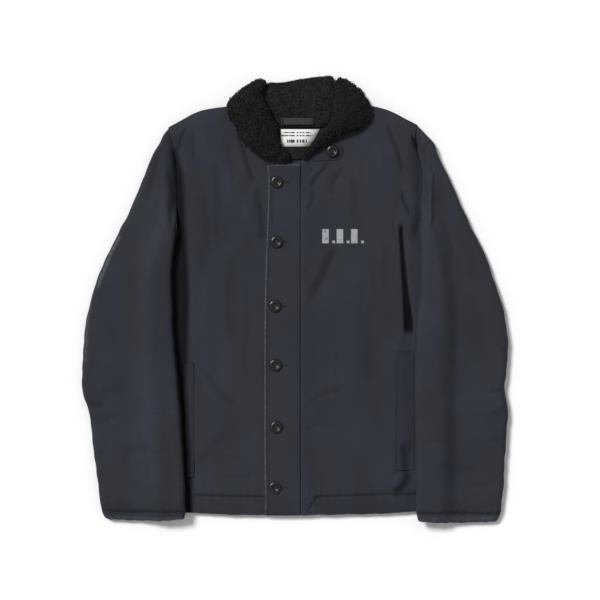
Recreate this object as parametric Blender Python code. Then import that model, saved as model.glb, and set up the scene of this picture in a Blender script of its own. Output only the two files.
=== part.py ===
"""Deck jacket with a pile collar, laid flat with its front up.

Sizes in the tables are millimetres and become metres when a solid is made.
+Z is up, +Y runs from the hem to the collar, left and right are as seen from above.
"""
import math

import bmesh
import bpy
import numpy as np
from mathutils import Vector
from mathutils.bvhtree import BVHTree

MM = 0.001

# Layers, from the surface that it lies on upwards
CLOTH_WALL = 9.0          # outer cloth, interlining and pile lining together
BACK_TOP = 9.0
FRONT_FLOOR = 9.4         # lowest that a front's inner face comes
FRONT_LEVEL = 19.5        # outer face of the fronts
NECK_LEVEL = 16.2         # outer face of the fronts under the collar
TUCKED_LEVEL = 15.0       # outer face of the fronts under the sleeves
THINNEST_LEVEL = 12.0     # lowest outer face, at the seams and in the creases
EDGE_LIFT = 3.0           # the back's underside turns up this far at its edge
CENTRE_Y = 0.2            # brings the middle of the outline to the origin

# Placket, buttons and trim
SEAM_X = 8.2              # seam between the placket and the right front
HALF_SEAM = 0.3
PLACKET_GAP = 0.9
PLACKET_THICK = 2.2
PLACKET_HUMP = 2.4        # right front rises to the placket's level along the seam
BUTTON_RADIUS = 10.6
BUTTON_GAP = 0.4
BUTTON_HOLE_RADIUS = 1.1
BUTTON_HOLE_SPREAD = 2.3
BUTTON_SEGMENTS = 16
TAPE_THICK = 1.4
LABEL_THICK = 1.0
TRIM_THICK = 2.0
WELT_GAP = 0.6

# Sleeves
SLEEVE_THICK = 20.0
SLEEVE_EDGE_DROP = 4.0
SLEEVE_EDGE_REACH = 50.0
SLEEVE_PLATEAU = 16.0     # underside where a sleeve lies on the body
PLATEAU_REACH = 14.0      # it stays up this far beyond the side seam
PLATEAU_FALL = 30.0       # and comes down to the floor over this width
SLEEVE_HOLLOW = 2.0
SLEEVE_ROUND = 9.0        # radius of the rounded long edges
CREVICE_REACH = 16.0
CUFF_THICK = 13.0
CUFF_REACH = 26.0

# Collar
SHELL_THICK = 2.0
PILE_GAP = 0.4
SHELL_OVERHANG = 1.5

# Outlines, x and y
ARMHOLE_LEFT = ((-215.6, 293.3), (-213.7, 277.6), (-210.3, 260.6), (-205.2, 245.3),
                (-202.6, 219.8), (-201.8, 168.8), (-202.0, 109.3))
ARMHOLE_RIGHT = ((208.8, 297.2), (204.5, 281.0), (206.2, 264.0), (212.2, 244.5),
                 (216.4, 224.9), (215.4, 168.8), (214.7, 109.3))
SIDE_LEFT = ((-202.0, 109.3), (-212.0, 90.0), (-221.0, 55.0), (-229.0, 10.0),
             (-232.0, -62.0), (-230.0, -160.0), (-225.0, -290.0), (-221.0, -366.0))
SIDE_RIGHT = ((214.7, 109.3), (221.0, 90.0), (229.0, 55.0), (235.0, 10.0),
              (236.0, -62.0), (235.0, -160.0), (235.0, -290.0), (236.0, -364.0))
SHOULDER_LEFT = ((-215.6, 293.3), (-188.4, 308.4), (-161.8, 321.8), (-117.6, 328.6), (-80.2, 330.3))
SHOULDER_RIGHT = ((208.8, 297.2), (184.6, 309.6), (166.3, 319.3), (141.3, 328.0), (89.8, 331.0))
NECK_LEFT = ((-80.2, 330.3), (-73.4, 321.8), (-66.0, 304.3), (-57.8, 287.0), (-51.3, 268.4),
             (-42.5, 254.3), (-29.4, 246.2), (-15.6, 236.8), (8.2, 232.6))
NECK_RIGHT = ((89.8, 331.0), (90.3, 317.4), (84.7, 302.8), (74.5, 290.7), (60.5, 281.9),
              (47.3, 270.8), (34.5, 259.8), (21.8, 247.9), (8.5, 233.4))
HEM_LEFT = ((-221.0, -366.0), (-178.8, -364.0), (-120.0, -367.0), (-54.7, -368.4), (8.2, -368.4))
HEM_RIGHT = ((236.0, -364.0), (203.7, -361.7), (183.3, -364.0), (105.1, -366.7), (8.5, -368.4))
BACK_TOP_LINE = ((-215.6, 293.3), (-188.4, 308.4), (-161.8, 321.8), (-117.6, 328.6),
                 (-80.0, 330.5), (-51.0, 330.5), (-44.5, 321.8), (-36.8, 306.5), (-29.8, 291.0),
                 (-2.0, 291.0), (25.0, 291.0), (52.9, 291.0), (59.1, 303.1), (62.5, 316.7),
                 (64.9, 329.5), (90.0, 330.0), (141.3, 327.5), (166.3, 318.5), (184.6, 309.0),
                 (208.8, 297.2))
PLACKET_EDGE = ((-51.2, -368.4), (-50.7, -320.8), (-52.0, -295.3), (-52.2, -70.0), (-51.3, 0.0),
                (-49.8, 66.8), (-47.4, 126.3), (-45.4, 202.8), (-47.1, 227.5))
LINING_ROWS = (            # y, left x, right x
    (239.0, -12.5, 9.5),
    (246.0, -23.0, 15.5),
    (254.0, -37.0, 24.0),
    (271.0, -48.0, 43.5),
    (290.0, -55.0, 68.5),
)
COLLAR_INNER_LEFT = ((-28.6, 292.2), (-35.3, 306.5), (-43.0, 321.8), (-48.9, 333.7),
                     (-54.0, 345.6), (-50.6, 357.5), (-45.5, 368.5))
COLLAR_INNER_RIGHT = ((51.7, 292.2), (57.6, 303.1), (61.0, 316.7), (63.6, 330.3),
                      (65.3, 342.2), (66.1, 354.1), (63.6, 377.5))
COLLAR_TOP_LINE = ((-45.5, 368.5), (-25.8, 366.9), (-8.8, 369.4), (25.2, 374.5), (63.6, 377.5))

# Collar rolls: inner x, y, outer x, y, underside at the inner and outer edge, top of the pile
ROLL_LEFT = (
    (-46.2, 367.7, -63.2, 376.2, 0.0, 0.0, 16.4),
    (-51.3, 357.5, -81.9, 366.0, 0.0, 0.0, 22.4),
    (-54.7, 345.6, -100.6, 350.7, 0.0, 0.0, 28.4),
    (-49.6, 333.7, -114.2, 336.3, 9.8, 16.6, 35.0),
    (-43.7, 321.8, -116.8, 321.8, 9.8, 16.6, 37.0),
    (-36.0, 306.5, -109.1, 303.1, 9.8, 16.6, 37.0),
    (-29.2, 291.2, -98.9, 281.0, 13.6, 16.6, 36.0),
    (-26.7, 274.2, -86.2, 260.6, 13.6, 16.6, 35.0),
    (-22.4, 258.9, -70.0, 247.9, 13.6, 16.6, 33.0),
    (-12.2, 253.0, -53.0, 239.4, 13.6, 16.6, 31.0),
    (-10.5, 241.9, -32.6, 234.3, 16.6, 16.6, 28.0),
    (-11.4, 235.1, -19.0, 232.6, 16.6, 16.6, 24.0),
)
ROLL_RIGHT = (
    (64.3, 366.0, 77.9, 379.6, 0.0, 0.0, 16.4),
    (66.8, 354.1, 96.6, 368.6, 0.0, 0.0, 22.4),
    (66.0, 342.2, 114.4, 350.7, 0.0, 0.0, 28.4),
    (64.3, 330.9, 125.5, 333.7, 9.8, 16.6, 35.0),
    (61.7, 316.7, 129.7, 318.4, 9.8, 16.6, 37.0),
    (58.3, 303.1, 126.3, 302.3, 9.8, 16.6, 37.0),
    (52.4, 292.1, 109.3, 288.7, 13.6, 16.6, 36.0),
    (43.0, 283.6, 84.7, 284.4, 13.6, 16.6, 34.0),
    (34.5, 272.5, 62.6, 270.5, 13.6, 16.6, 32.0),
    (26.0, 261.3, 45.2, 259.8, 13.6, 16.6, 29.5),
    (14.1, 254.7, 26.9, 246.2, 13.6, 16.6, 27.0),
    (10.4, 239.4, 17.5, 238.5, 16.6, 16.6, 23.0),
)
SHELL_ROWS_RIGHT = 7
# Section of the pile: share of the width from the inner edge, share of the height
PILE_BASE = (0.06, 0.24, 0.36, 0.94)
PILE_DOME = ((1.0, 0.15), (0.9, 0.42), (0.75, 0.7), (0.55, 0.92), (0.32, 1.0), (0.15, 0.8), (0.04, 0.45))

# Tab at the throat: x, y of its middle line, half width
THROAT_TAB_ROWS = (
    (15.0, 239.4, 4.0),
    (22.0, 241.2, 6.0),
    (32.0, 243.8, 8.7),
    (45.6, 247.9, 12.0),
    (56.0, 250.4, 14.4),
    (64.3, 252.1, 16.2),
    (71.5, 253.2, 14.6),
    (76.5, 254.0, 10.8),
    (80.0, 254.6, 5.0),
)

# Sleeves: outer x, y, inner x, y of every ring, from the armhole to the cuff
SLEEVE_RINGS_LEFT = (
    (-215.6, 293.3, -202.0, 109.3),
    (-226.0, 279.0, -202.3, 107.0),
    (-237.5, 258.5, -202.8, 103.5),
    (-250.2, 230.4, -203.5, 99.0),
    (-265.5, 193.5, -204.5, 92.0),
    (-282.7, 150.1, -205.8, 82.0),
    (-305.5, 106.8, -207.3, 66.0),
    (-324.0, 70.2, -208.4, 46.0),
    (-343.7, 19.2, -208.2, 12.0),
    (-354.8, -23.3, -207.0, -25.0),
    (-360.4, -62.4, -205.4, -62.4),
    (-363.5, -110.0, -200.5, -108.0),
    (-364.8, -142.3, -197.3, -142.0),
    (-361.8, -164.4, -195.2, -165.0),
    (-354.8, -184.1, -193.6, -186.0),
    (-347.7, -217.9, -191.3, -218.0),
    (-346.5, -250.0, -189.8, -250.0),
    (-340.7, -282.9, -188.1, -283.0),
    (-337.0, -318.0, -187.0, -318.0),
    (-333.0, -348.0, -186.4, -348.0),
    (-330.5, -364.0, -186.2, -362.0),
    (-324.5, -374.5, -188.5, -373.6),
)
SLEEVE_RINGS_RIGHT = (
    (208.8, 297.2, 214.7, 109.3),
    (221.5, 284.4, 214.7, 107.0),
    (236.0, 267.5, 214.7, 103.5),
    (246.5, 241.5, 214.6, 99.0),
    (264.9, 202.1, 214.5, 92.0),
    (281.9, 163.7, 214.4, 82.0),
    (305.0, 114.5, 214.2, 66.0),
    (327.5, 70.5, 213.6, 48.0),
    (344.4, 19.2, 211.8, 15.0),
    (357.0, -20.0, 208.2, -20.0),
    (364.8, -70.9, 204.4, -70.0),
    (361.4, -119.3, 203.0, -119.0),
    (357.2, -150.3, 202.8, -150.0),
    (362.2, -178.0, 202.8, -178.0),
    (363.5, -198.4, 203.0, -200.0),
    (360.5, -236.0, 203.9, -236.0),
    (357.5, -275.0, 204.9, -275.0),
    (356.5, -310.0, 204.8, -310.0),
    (352.9, -344.6, 204.2, -344.0),
    (350.9, -366.0, 204.6, -363.0),
    (345.5, -378.6, 208.5, -377.5),
)
ARMHOLE_SHARES = (1.0, 1.0, 0.8, 0.6, 0.3)   # how far each ring still follows the armhole
CUFF_BOW = -3.0
LOOP_EDGES = (0.0, 3.0, 9.0, 20.0)
LOOP_SHARES = (0.2, 0.31, 0.43, 0.56, 0.7)

# Folds: start, middle, end, half width, height
FOLDS_LEFT = (
    ((-93.8, 269.0), (-75.0, 177.0), (-63.0, 111.0), 16, -2.0),
    ((-112.0, 262.0), (-96.0, 180.0), (-84.0, 110.0), 18, 1.5),
    ((-194.0, 276.0), (-196.0, 262.0), (-202.6, 247.0), 7, -4.0),
    ((-174.6, 286.0), (-172.0, 259.0), (-171.0, 230.0), 10, -2.0),
    ((-153.0, 220.0), (-150.0, 67.0), (-157.0, -86.0), 26, 1.6),
    ((-107.0, 169.0), (-100.6, -1.0), (-111.0, -171.0), 24, -1.5),
    ((-133.6, -245.0), (-94.0, -229.0), (-55.0, -219.0), 14, -1.6),
    ((-160.0, -281.0), (-111.0, -283.0), (-61.5, -285.0), 12, -1.4),
    ((-179.0, 84.0), (-175.0, -1.0), (-179.0, -69.0), 14, -1.5),
)
FOLDS_RIGHT = (
    ((180.0, 136.0), (184.0, 50.0), (192.0, -78.0), 8, -7.5),
    ((157.0, 308.0), (168.0, 262.0), (183.0, 202.0), 9, -2.6),
    ((197.0, 285.0), (203.0, 265.0), (211.0, 241.0), 7, -3.0),
    ((182.0, 190.0), (182.0, 172.0), (195.0, 138.0), 8, -4.5),
    ((119.0, 194.0), (125.5, 172.0), (130.6, 152.0), 20, -1.3),
    ((52.0, 232.0), (40.0, 193.0), (23.5, 153.5), 11, -2.2),
    ((86.0, 232.0), (69.0, 186.0), (59.0, 135.0), 16, -1.8),
    ((69.0, 89.0), (42.0, 24.0), (17.0, -13.0), 15, -1.8),
    ((86.0, -98.0), (56.0, -125.0), (23.5, -147.0), 14, -1.6),
    ((135.0, -81.0), (136.0, -120.0), (135.0, -159.0), 14, -1.4),
    ((197.0, -298.0), (183.0, -328.0), (170.0, -362.0), 10, -3.5),
    ((93.0, 169.0), (97.0, -1.0), (97.0, -171.0), 26, 1.5),
    ((20.0, 126.0), (20.0, -52.0), (18.0, -222.0), 8, -1.0),
)
FOLDS_SLEEVE_LEFT = (
    ((-358.0, -184.0), (-320.0, -170.0), (-278.0, -165.0), 12, -2.5),
    ((-350.0, -246.0), (-318.0, -236.0), (-288.0, -232.0), 10, -1.8),
    ((-222.0, 242.0), (-219.0, 180.0), (-218.0, 124.0), 20, 7.0),
)
FOLDS_SLEEVE_RIGHT = (
    ((360.0, -152.0), (325.0, -135.0), (288.0, -128.0), 12, -3.0),
    ((223.0, 269.0), (221.0, 259.0), (218.0, 249.0), 6, -3.0),
    ((228.0, 232.0), (229.0, 175.0), (229.0, 124.0), 18, 7.0),
)

# Panel columns and rows, as shares of the width and the height
FRONT_COLUMNS = (0.0, 0.02, 0.045, 0.08, 0.12, 0.17, 0.24, 0.33, 0.43, 0.54, 0.60, 0.66, 0.72, 0.79,
                 0.86, 0.93, 1.0)
NECK_COLUMN = 0.54
UNDERARM_ROW = 0.72
FRONT_LOW_ROWS = (0.0, 0.007, 0.022, 0.05, 0.08, 0.11, 0.145, 0.18, 0.22, 0.26, 0.30, 0.34, 0.38, 0.42,
                  0.46, 0.50, 0.54, 0.58, 0.62, 0.66, 0.69)
BACK_LOW_ROWS = (0.0, 0.02, 0.08, 0.18, 0.28, 0.38, 0.48, 0.58, 0.66)
PLACKET_COLUMNS = (0.0, 0.06, 0.35, 0.68, 0.96, 1.0)
EVEN_FOUR = (0.0, 0.25, 0.5, 0.75, 1.0)
EVEN_EIGHT = (0.0, 0.125, 0.25, 0.375, 0.5, 0.625, 0.75, 0.875, 1.0)

BUTTON_PLACES = ((-30.9, 199.4), (-31.6, 97.4), (-34.3, -11.4), (-33.5, -111.7), (-32.0, -217.1),
                 (-34.3, -319.9))
THROAT_BUTTON_PLACE = (63.8, 252.1)
# Half section of a button: radius, height
BUTTON_SECTION = ((0.0, 0.0), (9.5, 0.0), (10.6, 1.4), (9.4, 3.6), (7.2, 3.4), (6.0, 2.0), (0.0, 1.9))

COLOURS = {
    "cloth": ((0.034, 0.037, 0.047), 0.85),
    "pile": ((0.011, 0.011, 0.012), 0.95),
    "lining": ((0.021, 0.021, 0.021), 0.95),
    "tape": ((0.015, 0.015, 0.017), 0.8),
    "label": ((0.72, 0.72, 0.70), 0.8),
    "button": ((0.022, 0.022, 0.026), 0.35),
}


def smooth(share):
    """Ease from 0 to 1."""
    share = min(max(share, 0.0), 1.0)
    return share * share * (3.0 - 2.0 * share)


def spline(p, t):
    """Point on a smooth span between the second and third of four points."""
    slope = p[2] - p[0]
    bend = 2.0 * p[0] - 5.0 * p[1] + 4.0 * p[2] - p[3]
    twist = 3.0 * p[1] - p[0] - 3.0 * p[2] + p[3]
    return 0.5 * (2.0 * p[1] + slope * t + bend * t * t + twist * t * t * t)


class Path:
    """Smooth line through the points of a table, walked by its length."""

    def __init__(self, points, steps=6):
        table = np.array(points, dtype=float)
        before = 2.0 * table[0] - table[1]
        after = 2.0 * table[-1] - table[-2]
        ends = np.vstack([before, table, after])
        line = [table[0]]
        for k in range(len(table) - 1):
            for step in range(1, steps + 1):
                line.append(spline(ends[k:k + 4], step / steps))
        self.line = np.array(line)
        self.legs = np.diff(self.line, axis=0)
        spans = np.hypot(self.legs[:, 0], self.legs[:, 1])
        self.run = np.concatenate([[0.0], np.cumsum(spans)])

    def at(self, share):
        """Point at a share of the length."""
        want = share * self.run[-1]
        x = np.interp(want, self.run, self.line[:, 0])
        y = np.interp(want, self.run, self.line[:, 1])
        return np.array([x, y])

    def nearest(self, x, y):
        """Distance of a point from the line, and the share of the length there."""
        away = np.array([x, y]) - self.line[:-1]
        squares = (self.legs ** 2).sum(axis=1)
        along = np.clip((away * self.legs).sum(axis=1) / squares, 0.0, 1.0)
        miss = away - self.legs * along[:, None]
        gaps = np.hypot(miss[:, 0], miss[:, 1])
        k = int(gaps.argmin())
        run = self.run[k] + along[k] * (self.run[k + 1] - self.run[k])
        return float(gaps[k]), float(run / self.run[-1])


def joined(first, second, share_at_join):
    """One edge out of two paths that meet at a corner."""
    def at(share):
        if share <= share_at_join:
            return first.at(share / share_at_join)
        return second.at((share - share_at_join) / (1.0 - share_at_join))
    return at


def table_edge(points):
    """Edge that is straight between the points of a table, which get even shares."""
    table = np.array(points, dtype=float)
    shares = np.linspace(0.0, 1.0, len(table))

    def at(share):
        return np.array([np.interp(share, shares, table[:, 0]), np.interp(share, shares, table[:, 1])])
    return at


def patch(bottom, top, left, right):
    """Place inside four joined edges, blended from all of them."""
    def place(u, v):
        across = (1.0 - v) * bottom(u) + v * top(u)
        along = (1.0 - u) * left(v) + u * right(v)
        low = (1.0 - u) * bottom(0.0) + u * bottom(1.0)
        high = (1.0 - u) * top(0.0) + u * top(1.0)
        return across + along - (1.0 - v) * low - v * high
    return place


class Folds:
    """Soft troughs and ridges drawn as short curves."""

    def __init__(self, table):
        self.rows = []
        for start, middle, end, half_width, height in table:
            self.rows.append((Path((start, middle, end)), half_width, height))

    def height(self, x, y):
        total = 0.0
        for path, half_width, height in self.rows:
            gap, share = path.nearest(x, y)
            if gap < half_width:
                fade = smooth(min(share, 1.0 - share) / 0.22)
                total += height * fade * 0.5 * (1.0 + math.cos(math.pi * gap / half_width))
        return total


def loop_places(width):
    """Distances from the outer edge of a sleeve's section."""
    near = list(LOOP_EDGES)
    middle = [share * width for share in LOOP_SHARES]
    far = [width - edge for edge in reversed(LOOP_EDGES)]
    return near + middle + far


class Half:
    """Seams, sleeve and folds of one half of the jacket."""

    def __init__(self, side, armhole, seam, shoulder, neck, hem, rings, folds, sleeve_folds):
        self.side = side
        self.armhole = Path(armhole)
        self.seam_table = seam
        self.seam = Path(seam)
        self.shoulder = Path(shoulder)
        self.neck = Path(neck)
        self.hem = Path(hem)
        self.rings = rings
        self.folds = Folds(folds)
        self.sleeve_folds = Folds(sleeve_folds)
        self.underarm = armhole[-1]
        self.cuff = Path(((rings[-1][0], rings[-1][1]), (rings[-1][2], rings[-1][3])))
        self.inner_y = [ring[3] for ring in reversed(rings)]
        self.inner_x = [ring[2] for ring in reversed(rings)]
        self.seam_y = [point[1] for point in reversed(seam)]
        self.seam_x = [point[0] for point in reversed(seam)]
        self.armhole_width = math.hypot(rings[0][2] - rings[0][0], rings[0][3] - rings[0][1])
        self.stops = [across / self.armhole_width for across in loop_places(self.armhole_width)]
        self.stop_points = np.array([self.armhole.at(stop) for stop in self.stops])
        self.cover = None

    def armhole_point(self, share):
        """Place on the seam that the body and the sleeve share, straight between its stops."""
        x = np.interp(share, self.stops, self.stop_points[:, 0])
        y = np.interp(share, self.stops, self.stop_points[:, 1])
        return np.array([x, y])

    def inside_sleeve_edge(self, x, y):
        """How far a point of the body lies clear of the sleeve on top of it."""
        if y > self.underarm[1]:
            return self.armhole.nearest(x, y)[0] + 0.8 * (y - self.underarm[1])
        edge = np.interp(y, self.inner_y, self.inner_x)
        return (edge - x) * self.side

    def outside_body(self, x, y):
        """How far a point of the sleeve lies beyond the side seam and the hem."""
        if self.seam_y[0] <= y <= self.underarm[1]:
            if (np.interp(y, self.seam_y, self.seam_x) - x) * self.side >= 0.0:
                return 0.0
        return min(self.seam.nearest(x, y)[0], self.hem.nearest(x, y)[0])

    def front_top(self, x, y):
        """Height of the outer face of a front."""
        neck_gap = self.neck.nearest(x, y)[0]
        level = NECK_LEVEL + (FRONT_LEVEL - NECK_LEVEL) * smooth((neck_gap - 56.0) / 34.0)
        clear = self.inside_sleeve_edge(x, y)
        level = min(level, TUCKED_LEVEL + (FRONT_LEVEL - TUCKED_LEVEL) * smooth((clear - 4.0) / 28.0))
        if self.side > 0:
            hump = 1.0 - smooth((x - SEAM_X) / 40.0)
            level += PLACKET_HUMP * hump * smooth((neck_gap - 20.0) / 40.0)
        level += self.folds.height(x, y) * smooth((neck_gap - 42.0) / 16.0)
        armhole_gap = self.armhole.nearest(x, y)[0]
        crevice = 1.0 - smooth((y - 250.0) / 30.0)
        level -= 7.0 * crevice * (1.0 - smooth(armhole_gap / 18.0))
        if y <= self.underarm[1]:
            level -= 2.5 * (1.0 - smooth(self.seam.nearest(x, y)[0] / 10.0))
        edge = 1.0 - smooth(self.shoulder.nearest(x, y)[0] / 14.0)
        level -= 5.0 * edge * smooth((neck_gap - 35.0) / 25.0)
        level -= 5.5 * (1.0 - smooth(self.hem.nearest(x, y)[0] / 34.0))
        return max(level, THINNEST_LEVEL)

    def on_front(self, x, y):
        """Height of the finished front, for what lies on it."""
        above = Vector((x * MM, y * MM, 1.0))
        hit = self.cover.ray_cast(above, Vector((0.0, 0.0, -1.0)))[0]
        return self.front_top(x, y) if hit is None else hit.z / MM

    def sleeve_lift(self, x, y):
        """How far the body lifts a sleeve that lies on its edge."""
        beyond = self.outside_body(x, y) - PLATEAU_REACH
        return SLEEVE_PLATEAU * smooth(1.0 - beyond / PLATEAU_FALL)

    def sleeve_thick(self, x, y, from_inner):
        """Height of a sleeve that lies on the flat."""
        thick = SLEEVE_THICK - SLEEVE_EDGE_DROP * (1.0 - smooth(from_inner / SLEEVE_EDGE_REACH))
        thick += self.sleeve_folds.height(x, y)
        at_line = 12.0 + 5.0 * smooth((y - 250.0) / 40.0)
        rise = smooth(self.armhole.nearest(x, y)[0] / CREVICE_REACH)
        thick = min(thick, at_line + (thick - at_line) * rise)
        cuff = 1.0 - smooth(self.cuff.nearest(x, y)[0] / CUFF_REACH)
        return thick + (CUFF_THICK - thick) * cuff


def make_material(slot):
    """Plain material of one slot."""
    colour, roughness = COLOURS[slot]
    material = bpy.data.materials.new(slot)
    material.use_nodes = True
    shader = material.node_tree.nodes["Principled BSDF"]
    shader.inputs["Base Color"].default_value = (*colour, 1.0)
    shader.inputs["Roughness"].default_value = roughness
    return material


def add_object(name, mesh, slot, place=(0.0, 0.0, 0.0)):
    """Node of the jacket, held by the empty at its origin."""
    obj = bpy.data.objects.new(name, mesh)
    bpy.context.collection.objects.link(obj)
    if not mesh.materials:
        mesh.materials.append(MATERIALS[slot])
    obj.parent = JACKET
    obj.location = place
    return obj


def finish(name, bm, slot):
    """Turn a closed bmesh into a node."""
    bmesh.ops.recalc_face_normals(bm, faces=bm.faces[:])
    mesh = bpy.data.meshes.new(name)
    bm.to_mesh(mesh)
    bm.free()
    return add_object(name, mesh, slot)


def add_grid(bm, columns, rows):
    """Grid of quads; the vertices and the column and row of each."""
    bmesh.ops.create_grid(bm, x_segments=columns - 1, y_segments=rows - 1, size=0.5)
    places = []
    for vert in bm.verts:
        column = round((vert.co.x + 0.5) * (columns - 1))
        row = round((vert.co.y + 0.5) * (rows - 1))
        places.append((column, row))
    return places


def build_panel(name, us, vs, place, upper, lower, slot):
    """Cloth wall between two faces over the same grid."""
    bm = bmesh.new()
    places = add_grid(bm, len(us), len(vs))
    index = bm.verts.layers.int.new("place")
    for k, vert in enumerate(bm.verts):
        vert[index] = k
    bmesh.ops.triangulate(bm, faces=bm.faces[:], quad_method="FIXED")
    made = bmesh.ops.extrude_face_region(bm, geom=bm.faces[:])
    raised = {item for item in made["geom"] if isinstance(item, bmesh.types.BMVert)}
    for vert in bm.verts:
        column, row = places[vert[index]]
        u = us[column]
        v = vs[row]
        x, y = place(u, v)
        height = upper(x, y, u, v) if vert in raised else lower(x, y, u, v)
        vert.co = (x * MM, y * MM, height * MM)
    walls = [face for face in bm.faces if len(face.verts) > 3]
    bmesh.ops.triangulate(bm, faces=walls, quad_method="FIXED")
    return finish(name, bm, slot)


def build_band(name, loops, slot):
    """Solid through a row of closed sections, shut at both ends."""
    bm = bmesh.new()
    count = len(loops[0])
    places = add_grid(bm, count + 1, len(loops))
    for vert, (column, row) in zip(bm.verts, places):
        x, y, z = loops[row][column % count]
        vert.co = (x * MM, y * MM, z * MM)
    bmesh.ops.remove_doubles(bm, verts=bm.verts[:], dist=0.000001)
    bmesh.ops.triangulate(bm, faces=bm.faces[:], quad_method="FIXED")
    rims = [edge for edge in bm.edges if edge.is_boundary]
    caps = bmesh.ops.holes_fill(bm, edges=rims, sides=0)["faces"]
    bmesh.ops.triangulate(bm, faces=caps, ngon_method="EAR_CLIP")
    return finish(name, bm, slot)


def panel_rows(low_rows, half):
    """Rows of a body panel; above the underarm they meet the points of the sleeve."""
    rows = list(low_rows)
    for stop in reversed(half.stops):
        rows.append(1.0 - (1.0 - UNDERARM_ROW) * stop)
    return rows


def build_back():
    """Back panel, hem to shoulders, flat on what it lies on."""
    left = joined(Path(SIDE_LEFT[::-1]), Path(ARMHOLE_LEFT[::-1]), UNDERARM_ROW)
    right = joined(Path(SIDE_RIGHT[::-1]), Path(ARMHOLE_RIGHT[::-1]), UNDERARM_ROW)
    hem = Path(HEM_LEFT[:-1] + HEM_RIGHT[::-1])
    top = table_edge(BACK_TOP_LINE)
    columns = np.linspace(0.0, 1.0, len(BACK_TOP_LINE))

    def shifted(u, v):
        inward = 0.8 * (1.0 - 2.0 * u)
        return patch(hem.at, top, left, right)(u, v) + np.array([inward, 0.0])

    def lower(x, y, u, v):
        return EDGE_LIFT if u in (0.0, 1.0) or v in (0.0, 1.0) else 0.0

    def upper(x, y, u, v):
        return BACK_TOP
    rows = panel_rows(BACK_LOW_ROWS, LEFT)
    return build_panel("back", list(columns), rows, shifted, upper, lower, "cloth")


def build_front(name, half):
    """Front panel of one half; its columns run from the side to the middle."""
    side = joined(Path(half.seam_table[::-1]), Path(half.armhole.line[::-1], 1), UNDERARM_ROW)
    middle_x = SEAM_X if half.side < 0 else SEAM_X + HALF_SEAM
    hem_end = half.hem.at(1.0)[1]
    neck_end = half.neck.at(1.0)[1]
    top = joined(half.shoulder, half.neck, NECK_COLUMN)

    def middle(v):
        return np.array([middle_x, hem_end + (neck_end - hem_end) * v])

    def shifted(u, v):
        inward = 0.5 * (1.0 - u) * -half.side
        return patch(half.hem.at, top, side, middle)(u, v) + np.array([inward, 0.0])

    def upper(x, y, u, v):
        edge = 2.2 if v == 0.0 else 0.0
        return max(half.front_top(x, y) - edge, FRONT_FLOOR + 2.0)

    def lower(x, y, u, v):
        return max(half.front_top(x, y) - CLOTH_WALL, FRONT_FLOOR)
    rows = panel_rows(FRONT_LOW_ROWS, half)
    front = build_panel(name, FRONT_COLUMNS, rows, shifted, upper, lower, "cloth")
    corners = [vert.co for vert in front.data.vertices]
    faces = [tuple(face.vertices) for face in front.data.polygons]
    half.cover = BVHTree.FromPolygons(corners, faces)


def build_placket(half):
    """Doubled band down the front edge, on the left front's own rows."""
    edge = Path(PLACKET_EDGE)
    edge_y = list(edge.line[:, 1])
    edge_x = list(edge.line[:, 0])
    low = PLACKET_EDGE[0][1]

    def place(u, v):
        left_y = low + (PLACKET_EDGE[-1][1] - low) * v
        right_y = low + (half.neck.at(1.0)[1] - 0.6 - low) * v
        left_x = np.interp(left_y, edge_y, edge_x)
        return np.array([left_x + (SEAM_X - left_x) * u, left_y + (right_y - left_y) * u])

    def lower(x, y, u, v):
        return half.on_front(x, y) + PLACKET_GAP

    def upper(x, y, u, v):
        rim = 0.9 if u == 0.0 or v in (0.0, 1.0) else 0.0
        return lower(x, y, u, v) + PLACKET_THICK - rim
    rows = panel_rows(FRONT_LOW_ROWS, half)
    return build_panel("placket", PLACKET_COLUMNS, rows, place, upper, lower, "cloth")


def sleeve_point(half, ring, across, width):
    """Place on a ring of the sleeve at a distance from its outer edge."""
    outer_x, outer_y, inner_x, inner_y = half.rings[ring]
    outer = np.array([outer_x, outer_y])
    inner = np.array([inner_x, inner_y])
    share = across / width
    point = outer + (inner - outer) * share
    if ring < len(ARMHOLE_SHARES):
        top = half.armhole_point(0.0)
        straight = top + (half.armhole_point(1.0) - top) * share
        point = point + ARMHOLE_SHARES[ring] * (half.armhole_point(share) - straight)
    if ring == len(half.rings) - 1:
        point = point + np.array([0.0, CUFF_BOW * math.sin(math.pi * share)])
    return point


def sleeve_loop(half, ring, hollow):
    """Closed section of a sleeve, its outer face or the hollow inside it."""
    outer_x, outer_y, inner_x, inner_y = half.rings[ring]
    width = math.hypot(inner_x - outer_x, inner_y - outer_y)
    upper = []
    lower = []
    for from_outer in loop_places(width):
        edge = min(from_outer, width - from_outer)
        bulge = math.sqrt(1.0 - (1.0 - min(edge / SLEEVE_ROUND, 1.0)) ** 2)
        across = from_outer
        if hollow:
            across = width / 2.0 + (from_outer - width / 2.0) * (1.0 - 2.0 * SLEEVE_ROUND / width)
        x, y = sleeve_point(half, ring, across, width)
        under = half.sleeve_lift(x, y)
        thick = half.sleeve_thick(x, y, width - across)
        if hollow:
            middle = under + thick / 2.0
            rise = SLEEVE_HOLLOW / 2.0 * bulge
            fall = rise
        else:
            middle = under + 0.45 * thick
            rise = 0.55 * thick * bulge
            fall = 0.45 * thick * bulge
        upper.append((x, y, middle + rise))
        lower.append((x, y, middle - fall))
    return upper + lower[-2:0:-1]


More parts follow.
